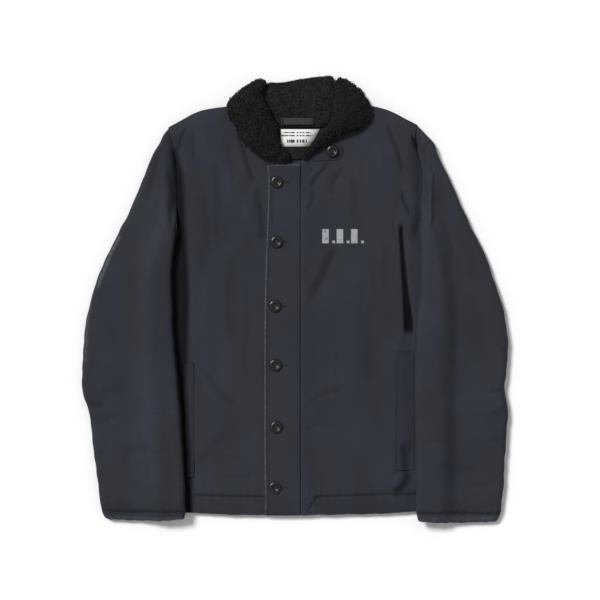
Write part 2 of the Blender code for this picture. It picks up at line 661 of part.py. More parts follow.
def build_sleeve(name, half):
    """Sleeve, a flattened tube from the armhole to the cuff."""
    count = len(half.rings)
    loops = [sleeve_loop(half, ring, False) for ring in range(count)]
    loops += [sleeve_loop(half, ring, True) for ring in reversed(range(count))]
    loops.append(loops[0])
    around = len(loops[0])
    bm = bmesh.new()
    places = add_grid(bm, around + 1, len(loops))
    for vert, (column, row) in zip(bm.verts, places):
        x, y, z = loops[row][column % around]
        vert.co = (x * MM, y * MM, z * MM)
    face_up = len(loop_places(1.0)) - 1
    over = []
    under = []
    for k, face in enumerate(bm.faces):
        row, column = divmod(k, around)
        forward = (column < face_up) == (row < count)
        (over if forward else under).append(face)
    bmesh.ops.triangulate(bm, faces=over, quad_method="FIXED")
    bmesh.ops.triangulate(bm, faces=under, quad_method="ALTERNATE")
    bmesh.ops.remove_doubles(bm, verts=bm.verts[:], dist=0.000001)
    return finish(name, bm, "cloth")


def along_row(row, share, beyond=0.0):
    """Place across a collar row, and further out by a distance."""
    inner_x, inner_y, outer_x, outer_y = row[:4]
    width = math.hypot(outer_x - inner_x, outer_y - inner_y)
    share = share + beyond / width
    return inner_x + (outer_x - inner_x) * share, inner_y + (outer_y - inner_y) * share


def underside(row, share):
    """Height of the collar's underside across a row."""
    base_in, base_out = row[4:6]
    rise = (share - PILE_BASE[1]) / (PILE_BASE[2] - PILE_BASE[1])
    return base_in + (base_out - base_in) * min(max(rise, 0.0), 1.0)


def build_shell(name, rows):
    """Outer cloth of the collar, under the turned-over pile."""
    loops = []
    for row in rows:
        loop = []
        edge = PILE_BASE + (1.0,)
        for share in edge:
            beyond = SHELL_OVERHANG if share == 1.0 else 0.0
            x, y = along_row(row, share, beyond)
            loop.append((x, y, underside(row, share) + SHELL_THICK))
        for share in reversed(edge):
            beyond = SHELL_OVERHANG if share == 1.0 else 0.0
            x, y = along_row(row, share, beyond)
            loop.append((x, y, underside(row, share)))
        loops.append(loop)
    return build_band(name, loops, "cloth")


def build_pile(name, rows):
    """Pile facing, one soft roll."""
    loops = []
    for row in rows:
        loop = []
        lift = SHELL_THICK + PILE_GAP
        for share in PILE_BASE:
            x, y = along_row(row, share)
            loop.append((x, y, underside(row, share) + lift))
        for share, height in PILE_DOME:
            x, y = along_row(row, share)
            low = underside(row, share) + lift
            loop.append((x, y, low + (row[6] - low) * height))
        loops.append(loop)
    return build_band(name, loops, "pile")


def build_collar_back():
    """Shell and pile behind the neck, between the two rolls."""
    bottom = Path((COLLAR_INNER_LEFT[0], COLLAR_INNER_RIGHT[0]))
    place = patch(bottom.at, Path(COLLAR_TOP_LINE).at, Path(COLLAR_INNER_LEFT).at,
                  Path(COLLAR_INNER_RIGHT).at)

    def flat_under(x, y, u, v):
        return 0.8 if v == 1.0 else 0.0

    def flat_over(x, y, u, v):
        return SHELL_THICK + 0.2

    def pile_under(x, y, u, v):
        return SHELL_THICK + 0.6

    def pile_over(x, y, u, v):
        return 13.0 - 6.0 * smooth((v - 0.62) / 0.38)
    build_panel("shell_back", EVEN_EIGHT, EVEN_EIGHT, place, flat_over, flat_under, "cloth")
    build_panel("pile_back", EVEN_EIGHT, EVEN_EIGHT, place, pile_over, pile_under, "pile")


def build_lining():
    """Pile lining that shows inside the neck."""
    loops = []
    for y, left_x, right_x in LINING_ROWS:
        low = FRONT_FLOOR
        high = 13.2
        loops.append([(left_x, y, low), (right_x, y, low), (right_x, y, high - 0.6),
                      (right_x - 3.0, y, high), (left_x + 3.0, y, high), (left_x, y, high - 0.6)])
    build_band("neck_lining", loops, "lining")


def build_label():
    """Sewn label, printed side up and bare."""
    bottom = Path(((-24.2, 260.0), (26.2, 260.3)))
    top = Path(((-24.4, 289.6), (41.4, 289.6)))
    left = Path(((-24.2, 260.0), (-24.4, 289.6)))
    right = Path(((26.2, 260.3), (41.4, 289.6)))

    def lower(x, y, u, v):
        return 13.6

    def upper(x, y, u, v):
        return 13.6 + LABEL_THICK
    place = patch(bottom.at, top.at, left.at, right.at)
    build_panel("label", EVEN_FOUR, EVEN_FOUR, place, upper, lower, "label")


def build_hanger_loop():
    """Tape loop across the back of the neck, slightly raised in its middle."""
    half_long = 28.9
    half_high = 5.8
    middle_x = 4.8
    middle_y = 302.8

    def place(u, v):
        return np.array([middle_x + half_long * (2.0 * u - 1.0), middle_y + half_high * (2.0 * v - 1.0)])

    def lower(x, y, u, v):
        return 13.4 + 1.6 * (1.0 - (2.0 * u - 1.0) ** 2)

    def upper(x, y, u, v):
        return lower(x, y, u, v) + TAPE_THICK
    build_panel("hanger_loop", EVEN_EIGHT, (0.0, 0.5, 1.0), place, upper, lower, "tape")


def build_throat_tab(half):
    """Cloth tab at the throat with a rounded end."""
    middle = np.array([row[:2] for row in THROAT_TAB_ROWS])
    loops = []
    for k, (x, y, half_width) in enumerate(THROAT_TAB_ROWS):
        ahead = middle[min(k + 1, len(middle) - 1)] - middle[max(k - 1, 0)]
        ahead = ahead / np.hypot(*ahead)
        across = np.array([-ahead[1], ahead[0]])
        low = []
        high = []
        for share in (-1.0, -0.5, 0.0, 0.5, 1.0):
            px, py = np.array([x, y]) + across * half_width * share
            base = half.on_front(px, py) + WELT_GAP
            rim = 0.7 if abs(share) == 1.0 else 0.0
            low.append((px, py, base))
            high.append((px, py, base + TRIM_THICK - rim))
        loops.append(low + high[::-1])
    build_band("throat_tab", loops, "cloth")


def build_welt(name, half, left_low, left_high, right_low, right_high):
    """Welt of a slanted side pocket, lying on the front."""
    bottom = Path((left_low, right_low))
    top = Path((left_high, right_high))
    place = patch(bottom.at, top.at, Path((left_low, left_high)).at, Path((right_low, right_high)).at)

    def lower(x, y, u, v):
        return half.on_front(x, y) + WELT_GAP

    def upper(x, y, u, v):
        rim = 0.8 if u in (0.0, 1.0) or v in (0.0, 1.0) else 0.0
        return lower(x, y, u, v) + TRIM_THICK - rim
    build_panel(name, EVEN_FOUR, [k / 12.0 for k in range(13)], place, upper, lower, "cloth")


def make_button_mesh():
    """Turned four-hole button; the holes are cut through."""
    bm = bmesh.new()
    ring = [bm.verts.new((radius * MM, 0.0, height * MM)) for radius, height in BUTTON_SECTION]
    edges = [bm.edges.new(pair) for pair in zip(ring[:-1], ring[1:])]
    bmesh.ops.spin(bm, geom=ring + edges, cent=(0.0, 0.0, 0.0), axis=(0.0, 0.0, 1.0),
                   angle=2.0 * math.pi, steps=BUTTON_SEGMENTS, use_duplicate=False)
    bmesh.ops.remove_doubles(bm, verts=bm.verts[:], dist=0.00001)
    bmesh.ops.recalc_face_normals(bm, faces=bm.faces[:])
    blank = bpy.data.meshes.new("button_blank")
    bm.to_mesh(blank)
    bm.free()
    blank.materials.append(MATERIALS["button"])
    body = bpy.data.objects.new("button_blank", blank)
    bpy.context.collection.objects.link(body)

    bm = bmesh.new()
    for side_x in (-1.0, 1.0):
        for side_y in (-1.0, 1.0):
            made = bmesh.ops.create_cone(bm, cap_ends=True, segments=6, radius1=BUTTON_HOLE_RADIUS * MM,
                                         radius2=BUTTON_HOLE_RADIUS * MM, depth=10.0 * MM)
            shift = (side_x * BUTTON_HOLE_SPREAD * MM, side_y * BUTTON_HOLE_SPREAD * MM, 0.0)
            bmesh.ops.translate(bm, verts=made["verts"], vec=shift)
    drill = bpy.data.meshes.new("button_drill")
    bm.to_mesh(drill)
    bm.free()
    cutter = bpy.data.objects.new("button_drill", drill)
    bpy.context.collection.objects.link(cutter)
    cut = body.modifiers.new("holes", "BOOLEAN")
    cut.operation = "DIFFERENCE"
    cut.solver = "EXACT"
    cut.object = cutter
    graph = bpy.context.evaluated_depsgraph_get()
    mesh = bpy.data.meshes.new_from_object(body.evaluated_get(graph))
    mesh.name = "button"
    bpy.data.objects.remove(body)
    bpy.data.objects.remove(cutter)
    return mesh


def resting_height(half, x, y):
    """Highest point of a front under a button."""
    heights = [half.on_front(x, y)]
    for turn in range(8):
        angle = math.pi * turn / 4.0
        beside_x = x + BUTTON_RADIUS * math.cos(angle)
        beside_y = y + BUTTON_RADIUS * math.sin(angle)
        heights.append(half.on_front(beside_x, beside_y))
    return max(heights)


for old in list(bpy.data.objects):
    bpy.data.objects.remove(old)

MATERIALS = {slot: make_material(slot) for slot in COLOURS}
JACKET = bpy.data.objects.new("deck_jacket", None)
bpy.context.collection.objects.link(JACKET)
JACKET.location.y = CENTRE_Y * MM

LEFT = Half(-1.0, ARMHOLE_LEFT, SIDE_LEFT, SHOULDER_LEFT, NECK_LEFT, HEM_LEFT, SLEEVE_RINGS_LEFT,
            FOLDS_LEFT, FOLDS_SLEEVE_LEFT)
RIGHT = Half(1.0, ARMHOLE_RIGHT, SIDE_RIGHT, SHOULDER_RIGHT, NECK_RIGHT, HEM_RIGHT, SLEEVE_RINGS_RIGHT,
             FOLDS_RIGHT, FOLDS_SLEEVE_RIGHT)

build_back()
build_front("front_left", LEFT)
build_front("front_right", RIGHT)
build_placket(LEFT)
build_sleeve("sleeve_left", LEFT)
build_sleeve("sleeve_right", RIGHT)
build_collar_back()
build_shell("shell_left", ROLL_LEFT)
build_shell("shell_right", ROLL_RIGHT[:SHELL_ROWS_RIGHT])
build_pile("pile_left", ROLL_LEFT)
build_pile("pile_right", ROLL_RIGHT)
build_lining()
build_label()
build_hanger_loop()
build_throat_tab(RIGHT)
build_welt("pocket_welt_left", LEFT, (-186.0, -303.0), (-190.0, -106.0), (-172.6, -303.0), (-172.6, -106.0))
build_welt("pocket_welt_right", RIGHT, (170.3, -290.0), (173.0, -88.0), (201.6, -290.0), (201.6, -88.0))

BUTTON = make_button_mesh()
for number, (button_x, button_y) in enumerate(BUTTON_PLACES, start=1):
    rest = resting_height(LEFT, button_x, button_y) + PLACKET_GAP + PLACKET_THICK + BUTTON_GAP
    add_object(f"button_{number}", BUTTON, "button", (button_x * MM, button_y * MM, rest * MM))
throat_x, throat_y = THROAT_BUTTON_PLACE
throat_rest = resting_height(RIGHT, throat_x, throat_y) + WELT_GAP + TRIM_THICK + BUTTON_GAP
add_object("button_throat", BUTTON, "button", (throat_x * MM, throat_y * MM, throat_rest * MM))
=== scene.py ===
"""Looks of the deck jacket, laid flat with its front up.

Tables are in millimetres on the garment: x to the right, y from the hem to the collar.
"""
import math
import random

import bmesh
import bpy
import numpy as np
from mathutils import Matrix, Vector, noise
from mathutils.bvhtree import BVHTree


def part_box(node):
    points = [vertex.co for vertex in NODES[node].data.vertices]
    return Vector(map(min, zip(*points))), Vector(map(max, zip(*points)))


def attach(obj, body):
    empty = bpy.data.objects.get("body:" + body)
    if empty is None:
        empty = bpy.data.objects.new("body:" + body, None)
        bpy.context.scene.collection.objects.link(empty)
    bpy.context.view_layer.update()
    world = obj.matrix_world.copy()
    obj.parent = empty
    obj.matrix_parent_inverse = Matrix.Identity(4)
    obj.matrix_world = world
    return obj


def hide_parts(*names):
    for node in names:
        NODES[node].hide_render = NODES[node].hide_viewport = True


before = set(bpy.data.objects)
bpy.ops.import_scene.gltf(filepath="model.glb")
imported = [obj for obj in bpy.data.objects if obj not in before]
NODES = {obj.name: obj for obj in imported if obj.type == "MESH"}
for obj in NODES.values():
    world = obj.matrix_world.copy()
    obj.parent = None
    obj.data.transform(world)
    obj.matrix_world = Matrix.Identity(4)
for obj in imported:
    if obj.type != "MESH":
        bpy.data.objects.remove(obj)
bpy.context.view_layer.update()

MM = 0.001

# Camera: straight above, as the photograph is taken
FRAME_SPAN = 1.02              # metres across the picture, at the cloth
CAMERA_HEIGHT = 3.0
CAMERA_X = 0.0082
CAMERA_Y = -0.0010
CLOTH_HEIGHT = 0.02
SENSOR = 36.0

# Light: one soft sun from the upper left, and an even white surround
SUN_HEADING = (0.62, -0.56, -0.95)
SUN_STRENGTH = 2.95
SKY_STRENGTH = 0.44

# Sizes of the sewing
STITCH_PITCH = 3.2
STITCH_LONG = 2.3
STITCH_THICK = 0.5
HEM_WIDTH = 34.0
CUFF_HEM_WIDTH = 15.0
BUTTON_RADIUS = 10.6


# ---------------------------------------------------------------- shader arithmetic
class Value:
    """A socket of a finish, used in plain arithmetic."""

    def __init__(self, finish, socket):
        self.finish = finish
        self.socket = socket

    def __add__(self, other):
        return self.finish.maths("ADD", self, other)

    def __sub__(self, other):
        return self.finish.maths("SUBTRACT", self, other)

    def __rsub__(self, other):
        return self.finish.maths("SUBTRACT", other, self)

    def __mul__(self, other):
        return self.finish.maths("MULTIPLY", self, other)

    def __truediv__(self, other):
        return self.finish.maths("DIVIDE", self, other)

    def __rtruediv__(self, other):
        return self.finish.maths("DIVIDE", other, self)

    def __pow__(self, other):
        return self.finish.maths("POWER", self, other)

    __radd__ = __add__
    __rmul__ = __mul__

    def at_most(self, other):
        return self.finish.maths("MINIMUM", self, other)

    def at_least(self, other):
        return self.finish.maths("MAXIMUM", self, other)

    def size(self):
        return self.finish.maths("ABSOLUTE", self, 0.0)

    def ramp(self, low, high):
        """0 below low, 1 above high, eased between."""
        settings = {"interpolation_type": "SMOOTHSTEP"}
        return self.finish.node("ShaderNodeMapRange", settings,
                                {"Value": self, "From Min": low, "From Max": high})


class Finish:
    """One material, built node by node."""

    def __init__(self, name, **constants):
        self.material = bpy.data.materials.new(name)
        self.material.use_nodes = True
        self.tree = self.material.node_tree
        self.shader = self.tree.nodes["Principled BSDF"]
        for key, value in constants.items():
            self.shader.inputs[key.replace("_", " ").title().replace("Ior", "IOR")].default_value = value
        self.place = self.node("ShaderNodeTexCoord", {}, {}, "Object")

    def node(self, kind, settings, inputs, output=0):
        """Add one node: its settings first, then the values or links of its sockets."""
        made = self.tree.nodes.new(kind)
        for key, value in settings.items():
            setattr(made, key, value)
        for key, value in inputs.items():
            self.put(made.inputs[key], value)
        return Value(self, made.outputs[output])

    def put(self, socket, value):
        if isinstance(value, Value):
            self.tree.links.new(value.socket, socket)
        else:
            socket.default_value = value

    def maths(self, operation, first, second):
        return self.node("ShaderNodeMath", {"operation": operation}, {0: first, 1: second})

    def mix(self, share, first, second):
        """Blend two colours."""
        settings = {"data_type": "RGBA"}
        return self.node("ShaderNodeMix", settings, {0: share, 6: first, 7: second}, 2)

    def stretched(self, x, y, z):
        """The place, with each axis scaled."""
        return self.node("ShaderNodeMapping", {}, {"Vector": self.place, "Scale": (x, y, z)})

    def axes(self):
        parts = self.tree.nodes.new("ShaderNodeSeparateXYZ")
        self.put(parts.inputs[0], self.place)
        return [Value(self, socket) for socket in parts.outputs]

    def cloud(self, scale, detail=2.0, roughness=0.5, vector=None):
        return self.node("ShaderNodeTexNoise", {},
                         {"Vector": vector or self.place, "Scale": scale, "Detail": detail,
                          "Roughness": roughness})

    def attribute(self, name):
        return self.node("ShaderNodeAttribute", {"attribute_name": name}, {}, "Fac")

    def bump(self, height, strength, distance, normal=None):
        inputs = {"Height": height, "Strength": strength, "Distance": distance}
        if normal:
            inputs["Normal"] = normal
        return self.node("ShaderNodeBump", {}, inputs)

    def finish(self, colour, roughness, normal=None):
        self.put(self.shader.inputs["Base Color"], colour)
        self.put(self.shader.inputs["Roughness"], roughness)
        if normal:
            self.put(self.shader.inputs["Normal"], normal)
        return self.material


def colour(red, green, blue):
    """Colour from its 0 to 255 screen values."""
    parts = []
    for part in (red, green, blue):
        share = part / 255.0
        parts.append(share / 12.92 if share <= 0.04045 else ((share + 0.055) / 1.055) ** 2.4)
    return (*parts, 1.0)


CHARCOAL = colour(46, 48, 52)
NAVY = colour(48, 51, 63)
DEEP = colour(36, 38, 42)
# Painted shade for creases, seams and hollows
SHADE = colour(6, 7, 9)
# Rubbed cloth, and painted highlights along the sleeves' edges
WORN_AND_LIT = colour(104, 106, 114)
MARK = colour(156, 159, 161)
MARK_BLOCKS = (51.5, 76.0, 100.5)     # middles of the chest mark's upright blocks
MARK_DOTS = (65.5, 90.0, 114.5)
MARK_FOOT = 95.5
MARK_TALL = 24.0


def box_mask(across, along, x, y, wide, tall, soft=0.35):
    """1 inside a rectangle on the cloth, in millimetres."""
    side = 1.0 - (across - x * MM).size().ramp((wide / 2 - soft) * MM, (wide / 2 + soft) * MM)
    end = 1.0 - (along - y * MM).size().ramp((tall / 2 - soft) * MM, (tall / 2 + soft) * MM)
    return side * end


def corded_cloth(name, marked=False):
    """Navy corded cotton: fine ribs along the piece, faded in soft patches, worn at its edges, with painted
    shade in creases and hollows and painted highlights on sleeve edges.
    """
    cloth = Finish(name, sheen_weight=0.03, sheen_roughness=0.4, specular_ior_level=0.12)
    across, along, _ = cloth.axes()
    patches = cloth.cloud(1.0, 3.0, 0.55, cloth.stretched(15.0, 6.0, 8.0)).ramp(0.40, 0.62)
    streaks = cloth.cloud(1.0, 3.0, 0.6, cloth.stretched(56.0, 8.0, 20.0)).ramp(0.35, 0.72)
    faded = cloth.cloud(1.0, 3.0, 0.6, cloth.stretched(11.0, 7.0, 6.0)).ramp(0.34, 0.66)
    grain = cloth.cloud(420.0, 2.0, 0.7)
    ribs = cloth.node("ShaderNodeTexWave", {"bands_direction": "X"},
                      {"Vector": cloth.place, "Scale": 320.0, "Distortion": 1.2, "Detail": 2.0,
                       "Detail Scale": 3.0})
    body = cloth.mix(patches * 0.65 + streaks * 0.35, CHARCOAL, NAVY)
    body = cloth.mix(faded * 0.42, body, DEEP)
    body = cloth.mix(grain.ramp(0.3, 0.75) * 0.22, body, DEEP)
    # Painted shade: creases, seam grooves and the hollows beside the sleeves darkened towards SHADE
    body = cloth.mix(cloth.attribute("painted_shade"), body, SHADE)
    # Rubbed hems and placket edges, plus painted highlights along the sleeves' outer edges
    rub_and_highlight = cloth.attribute("wear_and_highlight") * (0.35 + 0.65 * cloth.cloud(160.0, 3.0, 0.7).ramp(0.35, 0.7))
    body = cloth.mix(rub_and_highlight, body, WORN_AND_LIT)
    if marked:
        mark = 0.0
        for x in MARK_BLOCKS:
            mark = box_mask(across, along, x, MARK_FOOT + MARK_TALL / 2, 11.0, MARK_TALL, 0.6) + mark
        for x in MARK_DOTS:
            mark = box_mask(across, along, x, MARK_FOOT + 2.2, 4.4, 4.4, 0.6) + mark
        rubbed = cloth.cloud(150.0, 3.0, 0.8).ramp(0.26, 0.44)
        body = cloth.mix(mark * rubbed * 0.92, body, MARK)
    weave = cloth.bump(ribs * 0.6 + grain * 0.8, 0.5, 0.0002)
    slub = cloth.bump(cloth.cloud(55.0, 3.0, 0.6), 0.35, 0.0008, weave)
    return cloth.finish(body, 0.78 + 0.14 * grain, slub)


def curly_pile(name, tone):
    """Black alpaca-like pile: tight curls with dull tips."""
    pile = Finish(name, sheen_weight=0.06, sheen_roughness=0.6, specular_ior_level=0.08)
    curls = pile.node("ShaderNodeTexVoronoi", {"feature": "F1"}, {"Vector": pile.place, "Scale": 260.0})
    clumps = pile.cloud(70.0, 3.0, 0.6)
    tips = pile.mix((1.0 - curls.ramp(0.0, 0.6)) * 0.4 + clumps.ramp(0.4, 0.7) * 0.6,
                    colour(*[0.7 * part for part in tone]), colour(*tone))
    normal = pile.bump(curls * -1.0 + clumps, 0.55, 0.0016)
    return pile.finish(tips, 0.9 + 0.1 * clumps, normal)


def plain_finish(name, tone, roughness, grain_scale, **constants):
    """A finish with a fine grain in its colour, gloss and surface."""
    plain = Finish(name, **constants)
    grain = plain.cloud(grain_scale, 3.0, 0.6)
    body = plain.mix(grain.ramp(0.3, 0.7) * 0.5, colour(*tone), colour(*[0.72 * part for part in tone]))
    return plain.finish(body, roughness + 0.1 * grain, plain.bump(grain, 0.4, 0.0003))


def label_cloth():
    """White woven label with rows of plain printed dashes where the words were."""
    label = Finish("label_cloth", specular_ior_level=0.2)
    across, along, _ = label.axes()
    weave = label.node("ShaderNodeTexWave", {"bands_direction": "Y"},
                       {"Vector": label.place, "Scale": 500.0, "Distortion": 0.6, "Detail": 1.0})
    body = label.mix(weave * 0.25, colour(230, 230, 227), colour(205, 205, 203))
    ink = 0.0
    for row, wide, tall in ((284.2, 46.0, 2.2), (279.0, 52.0, 2.2), (269.5, 34.0, 5.4)):
        dashes = label.cloud(1.0, 0.0, 0.5, label.stretched(380.0, 1.0, 1.0)).ramp(0.38, 0.46)
        ink = box_mask(across, along, 3.0, row, wide, tall, 0.25) * dashes + ink
    body = label.mix(ink * 0.95, body, colour(34, 34, 36))
    return label.finish(body, 0.85 + 0.1 * weave, label.bump(weave, 0.4, 0.0002))


# ---------------------------------------------------------------- shapes
def smooth(share):
    """Ease from 0 to 1, for numbers and arrays."""
    share = np.clip(share, 0.0, 1.0)
    return share * share * (3.0 - 2.0 * share)


class Trace:
    """A smooth line through two or more points, walked by its length."""

    def __init__(self, *points):
        table = np.array(points, dtype=float)
        ends = np.vstack([2.0 * table[0] - table[1], table, 2.0 * table[-1] - table[-2]])
        line = [table[0]]
        for k in range(len(table) - 1):
            a, b, c, d = ends[k:k + 4]
            for step in range(1, 7):
                t = step / 6.0
                line.append(0.5 * (2.0 * b + (c - a) * t + (2.0 * a - 5.0 * b + 4.0 * c - d) * t * t
                                   + (3.0 * b - a - 3.0 * c + d) * t ** 3))
        self.line = np.array(line)
        spans = np.hypot(*np.diff(self.line, axis=0).T)
        self.run = np.concatenate([[0.0], np.cumsum(spans)])
        self.length = float(self.run[-1])

    def at(self, run):
        return (float(np.interp(run, self.run, self.line[:, 0])),
                float(np.interp(run, self.run, self.line[:, 1])))

    def heading(self, run):
        x0, y0 = self.at(max(run - 1.0, 0.0))
        x1, y1 = self.at(min(run + 1.0, self.length))
        return math.atan2(y1 - y0, x1 - x0)

    def gap(self, x, y):
        """Distance of many points from the line, and their share of its length."""
        best = np.full(x.shape, 1e9)
        share = np.zeros(x.shape)
        for k in range(len(self.line) - 1):
            ax, ay = self.line[k]
            bx, by = self.line[k + 1] - self.line[k]
            along = np.clip(((x - ax) * bx + (y - ay) * by) / (bx * bx + by * by), 0.0, 1.0)
            gap = np.hypot(x - ax - along * bx, y - ay - along * by)
            nearer = gap < best
            best = np.where(nearer, gap, best)
            run = self.run[k] + along * (self.run[k + 1] - self.run[k])
            share = np.where(nearer, run / self.length, share)
        return best, share


def fold_relief(x, y, table):
    """Height of many points over soft folds: start, middle, end, half width, height."""
    total = np.zeros(x.shape)
    for start, middle, end, half_width, height in table:
        gap, share = Trace(start, middle, end).gap(x, y)
        fade = smooth(np.minimum(share, 1.0 - share) / 0.25)
        total += height * fade * np.where(gap < half_width, 0.5 + 0.5 * np.cos(np.pi * gap / half_width), 0.0)
    return total


def ripple(x, y, seed, shortest, longest, height):
    """Uneven soft waves, the same on every run."""
    chance = random.Random(seed)
    total = np.zeros(x.shape)
    count = 9
    for _ in range(count):
        turn = chance.uniform(0.0, math.pi)
        wave = chance.uniform(shortest, longest)
        phase = chance.uniform(0.0, 2.0 * math.pi)
        total += np.sin((x * math.cos(turn) + y * math.sin(turn)) * 2.0 * math.pi / wave + phase)
    return height * total / math.sqrt(count)


def cad_copy(node):
    """The welded mesh of a CAD node, its triangles paired into quads."""
    bm = bmesh.new()
    bm.from_mesh(NODES[node].data)
    bmesh.ops.remove_doubles(bm, verts=bm.verts[:], dist=0.00002)
    bmesh.ops.join_triangles(bm, faces=bm.faces[:], cmp_seam=False, cmp_sharp=False, cmp_uvs=False,
                             cmp_vcols=False, cmp_materials=False, angle_face_threshold=math.radians(50),
                             angle_shape_threshold=math.radians(75))
    return bm


def creases(x, y, table):
    """Grooves and their shade: middle line, half width, depth, shade."""
    lift = np.zeros(x.shape)
    shade = np.zeros(x.shape)
    for points, half_width, depth, dark in table:
        gap, share = Trace(*points).gap(x, y)
        groove = np.exp(-(gap / half_width) ** 2) * smooth(np.minimum(share, 1.0 - share) / 0.18)
        lift -= depth * groove
        shade = np.maximum(shade, dark * groove)
    return lift, shade


def beside(x, y, table, soft):
    """1 between two uneven edges that run down the cloth: rows of y, left x, right x."""
    rows = np.array(table).T
    left = np.interp(y, rows[0], rows[1])
    right = np.interp(y, rows[0], rows[2])
    ends = smooth(np.minimum(y - rows[0][0], rows[0][-1] - y) / 14.0)
    return smooth((x - left + soft / 2) / soft) * (1.0 - smooth((x - right + soft / 2) / soft)) * ends


def new_piece(name, bm, material, replaced=()):
    """A finished mesh becomes a piece of the jacket."""
    mesh = bpy.data.meshes.new(name)
    bm.to_mesh(mesh)
    bm.free()
    mesh.materials.append(material)
    piece = bpy.data.objects.new(name, mesh)
    bpy.context.scene.collection.objects.link(piece)
    for face in mesh.polygons:
        face.use_smooth = True
    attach(piece, "root")
    if replaced:
        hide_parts(*replaced)
    return piece


def rounded(piece, levels):
    """Subdivide a piece for good."""
    soften = piece.modifiers.new("soften", "SUBSURF")
    soften.levels = levels
    soften.render_levels = levels
    graph = bpy.context.evaluated_depsgraph_get()
    mesh = bpy.data.meshes.new_from_object(piece.evaluated_get(graph))
    piece.modifiers.clear()
    piece.data = mesh
    for face in mesh.polygons:
        face.use_smooth = True


def cloth_piece(node, material, cuts, levels, shape=None, nudge=None):
    """Cloth on its CAD solid's form, finer, with its folds pressed in by shape."""
    bm = cad_copy(node)
    if cuts:
        bmesh.ops.subdivide_edges(bm, edges=bm.edges[:], cuts=cuts, use_grid_fill=True)
    piece = new_piece("cloth_" + node, bm, material, (node,))
    rounded(piece, levels)
    mesh = piece.data
    count = len(mesh.vertices)
    points = np.empty(count * 3)
    mesh.vertices.foreach_get("co", points)
    points = points.reshape(-1, 3)
    normals = np.empty(count * 3)
    mesh.vertex_normals.foreach_get("vector", normals)
    normals = normals.reshape(-1, 3)
    if shape:
        x = points[:, 0] / MM
        y = points[:, 1] / MM
        z = points[:, 2] / MM
        face_up = smooth((normals[:, 2] - 0.15) / 0.5)
        lift, painted_shade, wear_and_highlight = shape(x, y, z)
        points[:, 2] += lift * face_up * MM
        if nudge:
            sideways, lengthwise = nudge(x, y)
            points[:, 0] += sideways * MM
            points[:, 1] += lengthwise * MM
        mesh.vertices.foreach_set("co", points.ravel())
        # Per-point painted shade, and rubbed wear with painted highlights, read by the cloth finish
        for name, values in (("painted_shade", painted_shade), ("wear_and_highlight", wear_and_highlight * face_up)):
            layer = mesh.attributes.new(name, "FLOAT", "POINT")
            layer.data.foreach_set("value", np.clip(values, 0.0, 1.0).astype(np.float32))
        mesh.update()
    return piece


def surface_of(*pieces):
    """What lies on these pieces finds its height here."""
    corners = []
    faces = []
    for piece in pieces:
        start = len(corners)
        corners += [vert.co.copy() for vert in piece.data.vertices]
        faces += [tuple(start + k for k in face.vertices) for face in piece.data.polygons]
    return BVHTree.FromPolygons(corners, faces)


def height_on(surface, x, y, otherwise=0.0):
    """Height in millimetres of a surface at a place."""
    hit = surface.ray_cast(Vector((x * MM, y * MM, 0.5)), Vector((0.0, 0.0, -1.0)))[0]
    return otherwise if hit is None else hit.z / MM


def sew(bm, surface, trace, pitch=STITCH_PITCH, long=STITCH_LONG, thick=STITCH_THICK, crosswise=False):
    """Stitches along a line on a surface."""
    run = pitch / 2.0
    while run < trace.length:
        x, y = trace.at(run)
        angle = trace.heading(run) + (math.pi / 2.0 if crosswise else 0.0)
        dx = math.cos(angle) * long / 2.0
        dy = math.sin(angle) * long / 2.0
        tail = height_on(surface, x - dx, y - dy)
        head = height_on(surface, x + dx, y + dy)
        if tail > 0.0 and head > 0.0:
            slope = math.atan2(head - tail, long)
            place = Matrix.Translation((x * MM, y * MM, ((tail + head) / 2.0 + thick * 0.2) * MM))
            turn = Matrix.Rotation(angle, 4, "Z") @ Matrix.Rotation(-slope, 4, "Y")
            size = Matrix.Diagonal((long * MM, thick * MM, thick * MM, 1.0))
            bmesh.ops.create_cube(bm, size=1.0, matrix=place @ turn @ size)
        run += pitch


# ---------------------------------------------------------------- finishes
CLOTH = corded_cloth("corded_cloth")
CHEST_CLOTH = corded_cloth("marked_corded_cloth", marked=True)
PILE = curly_pile("black_pile", (32, 31, 32))
FLAT_PILE = curly_pile("flat_pile", (39, 39, 39))
LINING = curly_pile("neck_lining_pile", (36, 36, 37))
TAPE = plain_finish("loop_tape", (35, 35, 37), 0.7, 600.0)
SEAM_THREAD = plain_finish("dark_thread", (22, 23, 27), 0.8, 900.0)
THREAD = plain_finish("navy_thread", (38, 40, 47), 0.7, 900.0)
PALE_THREAD = plain_finish("worn_thread", (84, 88, 98), 0.7, 900.0)
# Near black: painted shade inside the button holes and buttonhole slits, and the dark thread of the loop's bar
# tacks
HOLE_SHADE_AND_TACK_THREAD = plain_finish("hole_shade_and_tack_thread", (12, 12, 14), 0.9, 900.0)
BUTTON = plain_finish("dark_button", (18, 18, 21), 0.22, 300.0, specular_ior_level=0.5)
LABEL = label_cloth()

